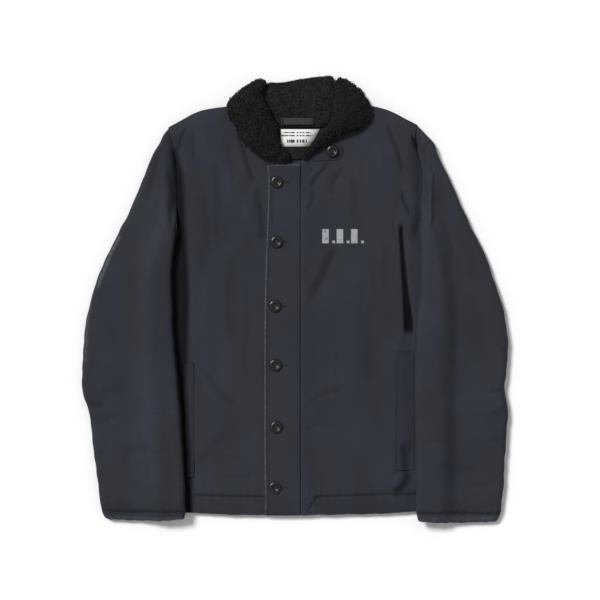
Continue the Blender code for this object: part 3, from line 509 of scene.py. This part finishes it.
# ---------------------------------------------------------------- cloth pieces
FINE_FOLDS = (
    ((-150.0, 300.0), (-146.0, 262.0), (-150.0, 220.0), 9, -0.9),
    ((-120.0, 306.0), (-128.0, 262.0), (-124.0, 214.0), 10, 0.8),
    ((-176.0, 200.0), (-171.0, 120.0), (-168.0, 40.0), 12, 1.0),
    ((-186.0, 60.0), (-180.0, -10.0), (-184.0, -80.0), 8, -0.8),
    ((-110.0, 120.0), (-98.0, 40.0), (-92.0, -40.0), 12, -0.9),
    ((-75.0, 60.0), (-70.0, -30.0), (-76.0, -120.0), 10, 0.8),
    ((-62.0, 210.0), (-58.0, 160.0), (-60.0, 110.0), 5, -0.8),
    ((-60.0, 20.0), (-58.0, -60.0), (-60.0, -130.0), 5, -0.7),
    ((-170.0, -200.0), (-140.0, -226.0), (-96.0, -240.0), 9, -0.9),
    ((-150.0, -240.0), (-118.0, -262.0), (-70.0, -268.0), 8, 0.7),
    ((-205.0, -270.0), (-176.0, -288.0), (-140.0, -300.0), 10, -1.0),
    ((-120.0, -300.0), (-90.0, -306.0), (-62.0, -300.0), 7, -0.8),
    ((24.0, 220.0), (30.0, 190.0), (26.0, 160.0), 6, -0.9),
    ((60.0, 226.0), (52.0, 200.0), (44.0, 176.0), 7, 0.8),
    ((112.0, 250.0), (118.0, 210.0), (126.0, 176.0), 9, -1.0),
    ((140.0, 276.0), (146.0, 236.0), (158.0, 196.0), 9, 0.9),
    ((176.0, 180.0), (170.0, 130.0), (172.0, 84.0), 9, -1.0),
    ((150.0, 120.0), (146.0, 60.0), (152.0, 0.0), 12, 1.0),
    ((120.0, 60.0), (116.0, -20.0), (120.0, -90.0), 12, -0.8),
    ((14.0, 60.0), (30.0, 30.0), (54.0, 12.0), 6, -0.8),
    ((14.0, -20.0), (28.0, -38.0), (50.0, -46.0), 7, 0.7),
    ((70.0, -60.0), (64.0, -130.0), (70.0, -190.0), 10, 0.9),
    ((30.0, -170.0), (52.0, -200.0), (92.0, -214.0), 9, -0.9),
    ((120.0, -190.0), (136.0, -230.0), (172.0, -262.0), 10, 0.9),
    ((60.0, -280.0), (98.0, -292.0), (150.0, -286.0), 9, -0.9),
    ((150.0, -316.0), (170.0, -300.0), (196.0, -280.0), 7, -1.4),
    ((162.0, -338.0), (182.0, -318.0), (200.0, -300.0), 6, 1.2),
)
# Grooves of the fronts: middle line, half width, depth, painted shade
FRONT_CREASES = (
    (((-215, 281), (-211, 267), (-208, 252)), 2.4, 1.0, 0.60),
    (((-183, 296), (-194, 275), (-198, 258), (-209, 249)), 2.4, 1.0, 0.45),
    (((-175, 284), (-172, 259), (-172, 233)), 4.0, 0.8, 0.22),
    (((-94, 279), (-81, 228), (-68, 193)), 3.6, 1.3, 0.50),
    (((-70, 196), (-58, 143), (-55, 91)), 6.0, 1.2, 0.36),
    (((-58, 247), (-53, 237), (-48, 225)), 1.8, 0.8, 0.55),
    (((-135, 237), (-130, 169), (-133, 92)), 7.0, 1.1, 0.20),
    (((-116, 268), (-108, 226), (-104, 190)), 6.0, 1.0, 0.18),
    (((-154, 190), (-150, 110), (-156, 40)), 8.0, 1.0, 0.16),
    (((-84, 40), (-80, -60), (-86, -150)), 8.0, 1.0, 0.16),
    (((-150, -120), (-128, -160), (-96, -180)), 7.0, 1.0, 0.18),
    (((-107, 84), (-113, -1), (-106, -78)), 8.0, 0.8, 0.12),
    (((-175, -285), (-141, -254), (-111, -226)), 9.0, 1.0, 0.16),
    (((-186, -256), (-180, -277), (-179, -297)), 6.0, 1.2, 0.60),
    (((157, 305), (165, 274), (176, 246), (184, 205)), 3.2, 1.2, 0.42),
    (((197, 283), (204, 267), (212, 244), (217, 222)), 2.8, 1.6, 0.92),
    (((182, 188), (183, 171), (190, 155), (195, 140)), 2.8, 1.3, 0.60),
    (((57, 237), (50, 224), (35, 208), (25, 189)), 3.2, 1.1, 0.50),
    (((35, 186), (28, 166), (20, 148)), 3.0, 1.0, 0.38),
    (((83, 223), (66, 203), (61, 176)), 4.0, 1.0, 0.32),
    (((97, 210), (103, 169), (97, 131)), 6.0, 0.8, 0.16),
    (((71, 97), (52, 53), (35, 19), (23, -8)), 8.0, 1.8, 0.36),
    (((18, -178), (52, -161), (93, -147)), 5.0, 0.8, 0.14),
    (((15, -222), (46, -212), (76, -215)), 5.0, 0.7, 0.12),
    (((131, -1), (124, -78), (131, -158)), 9.0, 1.0, 0.12),
    (((183, -239), (187, -283), (192, -307)), 7.0, 1.2, 0.55),
    (((165, -331), (182, -317), (197, -294)), 6.0, 1.3, 0.70),
    (((199, -239), (193, -256), (188, -277)), 4.0, 1.0, 0.35),
)
# Grooves of the sleeves: middle line, half width, depth, painted shade; the long rows at the left sleeve's
# inner edge are mostly painted shade
SLEEVE_CREASES = (
    (((223, 267), (220, 257), (218, 247)), 2.6, 0.9, 0.40),
    (((234, 216), (235, 169), (234, 121)), 4.5, 0.9, 0.20),
    (((-214, 284), (-205, 228), (-201, 143), (-202, 109), (-206, 50), (-208, -30)), 4.6, 0.2, 0.85),
    (((-207, 60), (-205, -60), (-198, -150), (-187, -310)), 3.0, 0.2, 0.60),
    (((-230, 257), (-240, 210), (-254, 162)), 7.0, 0.8, 0.14),
    (((-352, -175), (-339, -180), (-322, -178)), 4.0, 1.2, 0.30),
    (((-349, -198), (-334, -207), (-311, -205)), 4.0, 0.9, 0.18),
    (((-352, -124), (-340, -113), (-328, -107)), 4.0, 0.8, 0.14),
    (((357, -151), (343, -156), (328, -152)), 4.0, 1.2, 0.28),
    (((360, -180), (346, -192), (331, -195)), 4.0, 0.9, 0.18),
    (((360, -90), (348, -79), (338, -76)), 4.0, 0.8, 0.14),
    (((358, -232), (345, -239), (329, -236)), 4.0, 0.9, 0.18),
    (((-301, -290), (-281, -260), (-247, -246)), 8.0, 0.9, 0.12),
    (((246, -273), (273, -290), (311, -287)), 8.0, 0.9, 0.12),
)
# Hollows beside the sleeves, sunk and darkened with the painted shadow of the sleeves: y, left edge, right edge
LEFT_HOLLOW = (
    (-378, -194, -174), (-307, -196, -175), (-256, -199, -177), (-205, -203, -181), (-137, -209, -185),
    (-69, -214, -182), (-1, -217, -180), (50, -218, -182), (101, -217, -185), (133, -218, -187),
    (179, -222, -188), (211, -223, -190), (266, -225, -206),
)
RIGHT_HOLLOW = (
    (-64, 185.8, 201.1), (-32, 185.6, 200.3), (-1, 183.9, 195.2), (41, 181.6, 190.1), (84, 179.2, 185.8),
    (132, 176.8, 181.9),
)
SLEEVE_RIDGE = Trace((224, 252), (225, 169), (224, 101))
# Sleeve edges lightened: painted highlights where the outer edges face the light, with some rub: line, half
# width, strength
LIT_AND_RUBBED_EDGES = (
    (Trace((-300, 104), (-313, 80), (-323, 53), (-335, 23)), 3.0, 0.5),
    (Trace((-349, -1), (-354, -52), (-357, -103)), 3.0, 0.25),
    (Trace((321, 92), (331, 75), (341, 50)), 2.5, 0.25),
)
SHOULDER_X = 214.5
SHOULDER_Y = 292.0
RIGHT_ARMHOLE = Trace((214, 294), (214, 180), (214, 75))
LEFT_ARMHOLE = Trace((-214, 294), (-211, 256))
SLEEVE_FOLDS = (
    ((-240.0, 262.0), (-262.0, 200.0), (-286.0, 136.0), 13, -1.2),
    ((-228.0, 230.0), (-240.0, 160.0), (-262.0, 80.0), 15, 1.2),
    ((-300.0, 60.0), (-306.0, -20.0), (-300.0, -90.0), 16, -1.0),
    ((-250.0, 40.0), (-252.0, -60.0), (-246.0, -150.0), 16, -1.1),
    ((-352.0, -100.0), (-330.0, -120.0), (-296.0, -128.0), 10, -1.4),
    ((-356.0, -150.0), (-330.0, -152.0), (-300.0, -144.0), 9, 1.0),
    ((-350.0, -206.0), (-322.0, -204.0), (-290.0, -196.0), 9, -1.3),
    ((-346.0, -270.0), (-310.0, -262.0), (-270.0, -266.0), 10, -1.0),
    ((-200.0, -180.0), (-226.0, -196.0), (-256.0, -200.0), 10, -1.1),
    ((-200.0, -270.0), (-222.0, -260.0), (-250.0, -262.0), 9, -1.0),
    ((-330.0, -316.0), (-290.0, -322.0), (-240.0, -316.0), 9, -0.9),
    ((232.0, 268.0), (252.0, 210.0), (276.0, 150.0), 13, -1.2),
    ((246.0, 170.0), (252.0, 110.0), (262.0, 50.0), 15, 1.2),
    ((300.0, 60.0), (312.0, 0.0), (318.0, -60.0), 14, -1.1),
    ((256.0, 0.0), (252.0, -90.0), (258.0, -170.0), 16, -1.0),
    ((360.0, -96.0), (330.0, -104.0), (296.0, -96.0), 10, -1.3),
    ((358.0, -170.0), (330.0, -164.0), (300.0, -156.0), 9, 1.0),
    ((362.0, -200.0), (336.0, -206.0), (300.0, -198.0), 10, -1.2),
    ((360.0, -250.0), (330.0, -246.0), (292.0, -252.0), 10, -1.0),
    ((210.0, -150.0), (236.0, -166.0), (262.0, -168.0), 10, -1.0),
    ((212.0, -250.0), (238.0, -240.0), (270.0, -246.0), 9, -0.9),
    ((354.0, -312.0), (312.0, -320.0), (260.0, -314.0), 9, -0.9),
)
HEM_LINE = Trace((-215.0, -331.0), (-120.0, -334.0), (-53.0, -335.0))
HEM_LINE_RIGHT = Trace((36.0, -334.5), (120.0, -332.5), (228.0, -330.0))
HEM_CORNER = Trace((22.0, -358.0), (28.0, -350.0), (33.0, -341.0), (38.0, -335.0))
CUFF_LINE_LEFT = Trace((-330.0, -358.0), (-283.0, -361.5), (-240.0, -360.0), (-189.0, -360.0))
CUFF_LINE_RIGHT = Trace((207.0, -361.5), (250.0, -362.0), (300.0, -363.5), (349.0, -364.0))


def pressed_line(gap, width, depth):
    """A groove that a seam pulls into the cloth."""
    return -depth * np.exp(-(gap / width) ** 2)


def puckers(gap, x, y, reach, height, seed):
    """Short ridges that die away from a seam."""
    return ripple(x, y, seed, 9.0, 26.0, height) * np.exp(-(gap / reach) ** 2)


def front_shape(x, y, z):
    """Folds, hem, seams and hollows of a front, with painted shade in seams, creases and the hollows beside the
    sleeves.
    """
    lift = fold_relief(x, y, FINE_FOLDS) + ripple(x, y, 11, 60.0, 160.0, 0.35)
    painted_shade = np.zeros(x.shape)
    for line in (HEM_LINE, HEM_LINE_RIGHT, HEM_CORNER):
        gap, _ = line.gap(x, y)
        lift += pressed_line(gap, 3.5, 0.9) + puckers(gap, x, y, 20.0, 0.35, 23)
        painted_shade = np.maximum(painted_shade, 0.5 * np.exp(-(gap / 2.2) ** 2))
    grooves, shade = creases(x, y, FRONT_CREASES)
    left_hollow_shade = beside(x, y, LEFT_HOLLOW, 12.0)
    right_slit_shade = beside(x, y, RIGHT_HOLLOW, 4.0)
    lift += grooves - 2.6 * left_hollow_shade * smooth((130.0 - y) / 40.0) - 4.6 * right_slit_shade
    painted_shade = np.maximum.reduce([painted_shade, shade, 0.9 * left_hollow_shade, right_slit_shade])
    wear_and_highlight = 0.22 * smooth((-363.0 - y) / 4.0)
    return lift, painted_shade, wear_and_highlight


def front_nudge(x, y):
    """Slightly uneven bottom edge, and shoulder corners that reach the sleeves."""
    corner = np.exp(-((np.abs(x) - SHOULDER_X) ** 2 + (y - SHOULDER_Y) ** 2) / 9.0 ** 2)
    hem = ripple(x, 0.0 * y, 71, 12.0, 60.0, 0.4) * smooth((-345.0 - y) / 15.0)
    return 1.2 * np.sign(x) * corner, hem - 0.4 * corner


def sleeve_shape(x, y, z):
    """Folds, elbow wrinkles and cuff hem of a sleeve, with painted shade in creases and seams, a rubbed cuff
    and painted highlights along the outer edges.
    """
    lift = fold_relief(x, y, SLEEVE_FOLDS) + ripple(x, y, 31, 50.0, 150.0, 0.45)
    painted_shade = np.zeros(x.shape)
    for line in (CUFF_LINE_LEFT, CUFF_LINE_RIGHT):
        gap, _ = line.gap(x, y)
        lift += pressed_line(gap, 3.5, 1.0) + puckers(gap, x, y, 16.0, 0.4, 41)
        painted_shade = np.maximum(painted_shade, 0.5 * np.exp(-(gap / 2.2) ** 2))
    grooves, shade = creases(x, y, SLEEVE_CREASES)
    ridge, _ = SLEEVE_RIDGE.gap(x, y)
    lift += grooves + 1.3 * np.exp(-(ridge / 5.5) ** 2)
    wear_and_highlight = 0.22 * smooth((-367.0 - y) / 5.0)
    for line, half_width, rub_and_highlight in LIT_AND_RUBBED_EDGES:
        gap, _ = line.gap(x, y)
        wear_and_highlight = np.maximum(wear_and_highlight, rub_and_highlight * np.exp(-(gap / half_width) ** 2))
    return lift, np.maximum(painted_shade, shade), wear_and_highlight


def sleeve_nudge(x, y):
    """Uneven outline and cuff, and a cap that sits close against the armhole."""
    sideways = ripple(0.0 * x, y, 81, 14.0, 70.0, 0.6)
    for line, push in ((RIGHT_ARMHOLE, -1.3), (LEFT_ARMHOLE, 1.3)):
        gap, _ = line.gap(x, y)
        sideways += push * np.exp(-(gap / 6.0) ** 2)
    corner = np.exp(-((np.abs(x) - SHOULDER_X) ** 2 + (y - SHOULDER_Y) ** 2) / 9.0 ** 2)
    sideways -= 1.4 * np.sign(x) * corner
    lengthwise = 2.2 * corner
    lengthwise += ripple(x, 0.0 * y, 83, 8.0, 45.0, 0.6) * smooth((-345.0 - y) / 15.0)
    return sideways, lengthwise


def back_shape(x, y, z):
    """The back, seen only at its edges and inside the neck."""
    return ripple(x, y, 91, 60.0, 160.0, 0.15), np.zeros(x.shape), 0.2 * smooth((-363.0 - y) / 4.0)


def placket_shape(x, y, z):
    """The placket: rubbed left edge, a line of painted shade along the stitching, slight waves between the
    buttons.
    """
    edge = np.interp(y, PLACKET_EDGE_Y, PLACKET_EDGE_X)
    lift = ripple(x, y, 51, 40.0, 120.0, 0.22)
    wear_and_highlight = 0.62 * np.exp(-((x - edge) / 1.9) ** 2)
    wear_and_highlight = np.maximum(wear_and_highlight, 0.45 * np.exp(-((y - 229.0) / 2.0) ** 2))
    painted_shade = 0.35 * np.exp(-((x - edge - 4.0) / 1.6) ** 2)
    return lift, painted_shade, wear_and_highlight


def trim_shape(x, y, z):
    """Small cloth trim, hardly uneven."""
    return ripple(x, y, 61, 20.0, 60.0, 0.12), np.zeros(x.shape), np.full(x.shape, 0.04)


def flush_shape(x, y, z):
    """Welts and tab, pressed almost flush with the front, with the hollow's painted shade and a faint painted
    shade all over.
    """
    left_hollow_shade = beside(x, y, LEFT_HOLLOW, 12.0)
    _, shade = creases(x, y, FRONT_CREASES)
    lift = ripple(x, y, 63, 20.0, 60.0, 0.12) - 1.7 - 2.0 * left_hollow_shade
    return lift, np.maximum.reduce([0.9 * left_hollow_shade, shade, np.full(x.shape, 0.1)]), np.zeros(x.shape)


PLACKET_EDGE_Y = (-368.4, -320.8, -295.3, -70.0, 0.0, 66.8, 126.3, 202.8, 227.5)
PLACKET_EDGE_X = (-51.2, -50.7, -52.0, -52.2, -51.3, -49.8, -47.4, -45.4, -47.1)

back = cloth_piece("back", CLOTH, 1, 1, back_shape, nudge=front_nudge)
front_left = cloth_piece("front_left", CLOTH, 1, 2, front_shape, nudge=front_nudge)
front_right = cloth_piece("front_right", CHEST_CLOTH, 1, 2, front_shape, nudge=front_nudge)
placket = cloth_piece("placket", CLOTH, 1, 2, placket_shape, nudge=front_nudge)
sleeve_left = cloth_piece("sleeve_left", CLOTH, 1, 2, sleeve_shape, nudge=sleeve_nudge)
sleeve_right = cloth_piece("sleeve_right", CLOTH, 1, 2, sleeve_shape, nudge=sleeve_nudge)
shell_left = cloth_piece("shell_left", CLOTH, 1, 1, trim_shape)
shell_back = cloth_piece("shell_back", CLOTH, 1, 1, trim_shape)
shell_right = cloth_piece("shell_right", CLOTH, 1, 1, trim_shape)
throat_tab = cloth_piece("throat_tab", CLOTH, 1, 1, flush_shape)
welt_left = cloth_piece("pocket_welt_left", CLOTH, 1, 1, flush_shape)
welt_right = cloth_piece("pocket_welt_right", CLOTH, 1, 1, flush_shape)
lining = cloth_piece("neck_lining", LINING, 1, 2)
hanger_loop = cloth_piece("hanger_loop", TAPE, 1, 1)
label = cloth_piece("label", LABEL, 2, 0)


# ---------------------------------------------------------------- pile collar
PILE_BACK_REACH = 0.04
PILE_GRID = 2.0
COLLAR_RISE = 4.2
COLLAR_TILT = 0.02
ROLL_CORNER = (107.0, 352.0)


def curl_template():
    """One small hooked curl of pile."""
    bm = bmesh.new()
    ring = bmesh.ops.create_circle(bm, segments=4, radius=0.5 * MM, matrix=Matrix.Translation((1.9 * MM, 0, 0)))
    edges = list({edge for vert in ring["verts"] for edge in vert.link_edges})
    bmesh.ops.spin(bm, geom=ring["verts"] + edges, cent=(0, 0, 0), axis=(0, 1, 0), angle=math.radians(-215),
                   steps=5, use_duplicate=False)
    bmesh.ops.recalc_face_normals(bm, faces=bm.faces[:])
    mesh = bpy.data.meshes.new("curl")
    bm.to_mesh(mesh)
    bm.free()
    return mesh


def pile_piece(node, material, lump, shortest, seed, even=False):
    """A pile stretch of the collar, lumpy as the pile parts and clumps."""
    bm = cad_copy(node)
    bmesh.ops.subdivide_edges(bm, edges=bm.edges[:], cuts=1, use_grid_fill=True)
    piece = new_piece("pile_" + node, bm, material, (node,))
    rounded(piece, 2)
    if even:
        remade = piece.modifiers.new("even", "REMESH")
        remade.mode = "VOXEL"
        remade.voxel_size = PILE_GRID * MM
        graph = bpy.context.evaluated_depsgraph_get()
        piece.data = bpy.data.meshes.new_from_object(piece.evaluated_get(graph))
        piece.modifiers.clear()
        bm = bmesh.new()
        bm.from_mesh(piece.data)
        for _ in range(8):
            bmesh.ops.smooth_vert(bm, verts=bm.verts[:], factor=0.5, use_axis_x=True, use_axis_y=True,
                                  use_axis_z=True)
        bm.to_mesh(piece.data)
        bm.free()
        for face in piece.data.polygons:
            face.use_smooth = True
    moved = []
    for vert, normal in zip(piece.data.vertices, [part.vector.copy() for part in piece.data.vertex_normals]):
        spot = vert.co * (1.0 / (shortest * MM)) + Vector((seed, 0.0, 0.0))
        wave = noise.noise(spot) + 0.6 * noise.noise(spot * 2.6)
        up = max(0.0, min(1.0, (vert.co.z / MM - 4.0) / 8.0))
        moved.extend(vert.co + normal * (wave * lump * up * MM))
    piece.data.vertices.foreach_set("co", moved)
    piece.data.update()
    return piece


def curls_on(piece, name, count, seed, scale):
    """Curls standing out of a pile piece, denser than their gaps."""
    chance = random.Random(seed)
    template = curl_template()
    faces = [face for face in piece.data.polygons if face.normal.z > -0.15 and face.center.z > 5.0 * MM]
    weights = [face.area for face in faces]
    corners = len(template.vertices)
    curl = [vert.co.copy() for vert in template.vertices]
    bm = bmesh.new()
    placed = []
    for face in chance.choices(faces, weights, k=count):
        bm.from_mesh(template)
        lean = Vector((chance.gauss(0, 0.35), chance.gauss(0, 0.35), chance.gauss(0, 0.35)))
        out = (face.normal + lean).normalized()
        size = scale * chance.uniform(0.75, 1.3)
        place = (Matrix.Translation(face.center + face.normal * chance.uniform(-0.6, 0.8) * MM)
                 @ out.to_track_quat("Z", "Y").to_matrix().to_4x4()
                 @ Matrix.Rotation(chance.uniform(0.0, 2.0 * math.pi), 4, "Z")
                 @ Matrix.Diagonal((size, size, size, 1.0)))
        placed += [place @ corner for corner in curl]
    assert len(bm.verts) == corners * count
    for vert, spot in zip(bm.verts, placed):
        vert.co = spot
    bpy.data.meshes.remove(template)
    return new_piece(name, bm, PILE)


pile_left = pile_piece("pile_left", PILE, 2.6, 14.0, 3.0)
pile_right = pile_piece("pile_right", PILE, 2.6, 14.0, 9.0)
pile_back = pile_piece("pile_back", FLAT_PILE, 1.0, 16.0, 15.0, even=True)
for vert in pile_back.data.vertices:
    vert.co.x *= 1.0 + PILE_BACK_REACH
for piece in (pile_back, shell_back):
    for vert in piece.data.vertices:
        rise = COLLAR_RISE + COLLAR_TILT * vert.co.x / MM
        vert.co.y += rise * MM * float(smooth((vert.co.y / MM - 345.0) / 25.0))
    piece.data.update()
for vert in pile_right.data.vertices:
    away = (vert.co.xy / MM - Vector(ROLL_CORNER)).length
    vert.co.xy += Vector((2.0, 2.0)) * MM * math.exp(-(away / 18.0) ** 2)
pile_right.data.update()
curl_count = 2000
curls_left = curls_on(pile_left, "curls_left", curl_count, 5, 1.0)
curls_right = curls_on(pile_right, "curls_right", curl_count, 6, 1.0)
curls_back = curls_on(pile_back, "curls_back", curl_count // 2, 7, 0.75)


# ---------------------------------------------------------------- buttons
BUTTON_SECTION = ((0.0, 0.0), (8.9, 0.0), (10.1, 0.5), (10.6, 1.2), (10.3, 2.0), (9.4, 2.9), (8.4, 3.4),
                  (7.2, 3.6), (6.1, 3.5), (5.2, 2.9), (4.3, 1.8), (3.5, 1.15), (2.6, 1.0), (0.0, 1.0))
HOLE_SPREAD = 1.3
DISH_FLOOR = 1.0


def button_piece(node):
    """Dished four-hole button with its crossed thread."""
    low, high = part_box(node)
    middle = (low + high) / 2.0
    base = Matrix.Translation((middle.x, middle.y, low.z))
    bm = bmesh.new()
    ring = [bm.verts.new((radius * MM, 0.0, height * MM)) for radius, height in BUTTON_SECTION]
    edges = [bm.edges.new(pair) for pair in zip(ring[:-1], ring[1:])]
    bmesh.ops.spin(bm, geom=ring + edges, cent=(0, 0, 0), axis=(0, 0, 1), angle=2.0 * math.pi, steps=48,
                   use_merge=True, use_duplicate=False)
    bmesh.ops.remove_doubles(bm, verts=bm.verts[:], dist=0.00002)
    bmesh.ops.recalc_face_normals(bm, faces=bm.faces[:])
    bmesh.ops.transform(bm, matrix=base, verts=bm.verts[:])
    body = new_piece("turned_" + node, bm, BUTTON, (node,))
    # Dark discs at the dish floor: painted shade inside the four thread holes
    bm = bmesh.new()
    for side_x in (-1.0, 1.0):
        for side_y in (-1.0, 1.0):
            hole = Matrix.Translation((HOLE_SPREAD * side_x * MM, HOLE_SPREAD * side_y * MM,
                                       (DISH_FLOOR + 0.05) * MM))
            bmesh.ops.create_cone(bm, cap_ends=True, segments=14, radius1=0.8 * MM, radius2=0.8 * MM,
                                  depth=0.12 * MM, matrix=base @ hole)
    holes = new_piece("holes_" + node, bm, HOLE_SHADE_AND_TACK_THREAD)
    bm = bmesh.new()
    for turn in (math.radians(45), math.radians(-45)):
        for shift in (-0.35, 0.35):
            strand = (Matrix.Translation((0, 0, (DISH_FLOOR + 0.35) * MM)) @ Matrix.Rotation(turn, 4, "Z")
                      @ Matrix.Translation((0, shift * MM, 0)) @ Matrix.Diagonal((4.0, 0.5, 0.5, 1.0)))
            bmesh.ops.create_cube(bm, size=MM, matrix=base @ strand)
    bmesh.ops.bevel(bm, geom=bm.edges[:], offset=0.12 * MM, segments=2, profile=0.5, affect="EDGES",
                    material=-1)
    threads = new_piece("thread_" + node, bm, THREAD)
    return body, holes, threads


BUTTON_NODES = [f"button_{number}" for number in range(1, 7)]
for button_node in BUTTON_NODES + ["button_throat"]:
    button_piece(button_node)

# ---------------------------------------------------------------- sewing
left_top = surface_of(front_left)
right_top = surface_of(front_right)
placket_top = surface_of(placket)
sleeves_top = surface_of(sleeve_left, sleeve_right)


def sewn(name, rows, material):
    """All the stitches of one kind, as one piece."""
    bm = bmesh.new()
    for surface, trace in rows:
        sew(bm, surface, trace)
    return new_piece(name, bm, material)


placket_rows = []
for inset in (3.0, 8.0):
    edge_points = [(x + inset, y) for x, y in zip(PLACKET_EDGE_X, PLACKET_EDGE_Y)]
    edge_points[0] = (edge_points[0][0], edge_points[0][1] + 3.0)
    edge_points[-1] = (edge_points[-1][0], edge_points[-1][1] - 3.0)
    placket_rows.append((placket_top, Trace(*edge_points)))
placket_rows.append((placket_top, Trace((3.5, -365.0), (3.5, 0.0), (3.5, 226.0))))
placket_rows.append((placket_top, Trace((-43.0, 225.0), (-20.0, 227.0), (4.0, 229.0))))
placket_stitches = sewn("placket_stitches", placket_rows, THREAD)
hem_rows = [(left_top, HEM_LINE), (right_top, HEM_LINE_RIGHT), (right_top, HEM_CORNER)]
hem_stitches = sewn("hem_stitches", hem_rows, SEAM_THREAD)
cuff_rows = [(sleeves_top, CUFF_LINE_LEFT), (sleeves_top, CUFF_LINE_RIGHT)]
cuff_stitches = sewn("cuff_stitches", cuff_rows, SEAM_THREAD)
welt_rows = [
    (surface_of(welt_left), Trace((-176.0, -300.0), (-176.0, -109.0))),
    (surface_of(welt_right), Trace((174.0, -287.0), (176.4, -91.0))),
    (surface_of(welt_right), Trace((177.0, -91.0), (199.0, -91.0))),
]
welt_stitches = sewn("welt_stitches", welt_rows, THREAD)

shoulders_top = surface_of(front_left, front_right, sleeve_left, sleeve_right)
shoulder_rows = [
    (shoulders_top, Trace((214, 290), (216, 278), (219, 261))),
    (shoulders_top, Trace((217, 269), (226, 273), (236, 270))),
]
shoulder_stitches = sewn("shoulder_stitches", shoulder_rows, PALE_THREAD)

# Buttonholes, from under each button towards the seam
bm = bmesh.new()
slits = bmesh.new()
for button_node in BUTTON_NODES:
    low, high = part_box(button_node)
    start_x = (low.x + high.x) / 2.0 / MM + 7.0
    hole_y = (low.y + high.y) / 2.0 / MM
    for side in (-1.0, 1.0):
        lips = Trace((start_x, hole_y + 1.0 * side), (start_x + 12.0, hole_y + 1.0 * side))
        sew(bm, placket_top, lips, pitch=0.75, long=1.5, thick=0.45, crosswise=True)
    bar = Trace((start_x + 12.6, hole_y - 1.6), (start_x + 12.6, hole_y + 1.6))
    sew(bm, placket_top, bar, pitch=0.7, long=1.4, thick=0.5, crosswise=True)
    # A dark strip on the cloth: painted shade in the buttonhole's opening
    slit = Matrix.Translation(((start_x + 6.0) * MM, hole_y * MM,
                               (height_on(placket_top, start_x + 6.0, hole_y) + 0.12) * MM))
    bmesh.ops.create_cube(slits, size=MM, matrix=slit @ Matrix.Diagonal((12.0, 0.7, 0.25, 1.0)))
# Bar tacks of the hanger loop
tacks = bmesh.new()
loop_top = surface_of(hanger_loop)
loop_low, loop_high = (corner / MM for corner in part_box("hanger_loop"))
for tack_x in (loop_low.x + 3.0, loop_high.x - 3.0):
    sew(tacks, loop_top, Trace((tack_x, loop_low.y + 1.0), (tack_x, loop_high.y - 1.0)), pitch=0.7, long=2.6,
        thick=0.5, crosswise=True)
loop_tacks = new_piece("loop_bar_tacks", tacks, HOLE_SHADE_AND_TACK_THREAD)

# Worked eyelet below the throat tab
for shift in (-1.1, 1.1):
    sew(bm, right_top, Trace((19.5 + shift, 231.0), (23.0 + shift, 225.0), (27.0 + shift, 219.0)), pitch=0.8,
        long=1.8, thick=0.6, crosswise=True)
# A dark strip on the cloth: painted shade in the eyelet's opening
eyelet = Matrix.Translation((23.2 * MM, 225.0 * MM, (height_on(right_top, 23.2, 225.0) + 0.12) * MM))
bmesh.ops.create_cube(slits, size=MM, matrix=eyelet @ Matrix.Rotation(math.radians(-58), 4, "Z")
                      @ Matrix.Diagonal((12.0, 1.0, 0.3, 1.0)))
buttonholes = new_piece("buttonhole_stitches", bm, THREAD)
buttonhole_slits = new_piece("buttonhole_slits", slits, HOLE_SHADE_AND_TACK_THREAD)

# ---------------------------------------------------------------- floor, light and camera
bm = bmesh.new()
bmesh.ops.create_grid(bm, x_segments=1, y_segments=1, size=6.0)
floor_mesh = bpy.data.meshes.new("floor")
bm.to_mesh(floor_mesh)
bm.free()
floor = bpy.data.objects.new("floor", floor_mesh)
bpy.context.scene.collection.objects.link(floor)
floor.location.z = -0.0005
floor_finish = Finish("pale_floor", roughness=0.9, specular_ior_level=0.1)
floor_mesh.materials.append(floor_finish.finish(colour(243, 243, 243), 0.9))


sun = bpy.data.lights.new("upper_left_light", "SUN")
sun.energy = SUN_STRENGTH
sun.angle = math.radians(16)
lamp = bpy.data.objects.new("upper_left_light", sun)
bpy.context.scene.collection.objects.link(lamp)
lamp.rotation_euler = Vector(SUN_HEADING).to_track_quat("-Z", "Y").to_euler()
world = bpy.data.worlds.new("studio")
world.use_nodes = True
world.node_tree.nodes["Background"].inputs["Color"].default_value = (1.0, 1.0, 1.0, 1.0)
world.node_tree.nodes["Background"].inputs["Strength"].default_value = SKY_STRENGTH
bpy.context.scene.world = world
bpy.context.scene.view_settings.view_transform = "Standard"

lens = bpy.data.cameras.new("camera")
lens.sensor_width = SENSOR
lens.lens = SENSOR * CAMERA_HEIGHT / FRAME_SPAN
camera = bpy.data.objects.new("camera", lens)
bpy.context.scene.collection.objects.link(camera)
camera.location = (CAMERA_X, CAMERA_Y, CAMERA_HEIGHT + CLOTH_HEIGHT)
bpy.context.scene.camera = camera
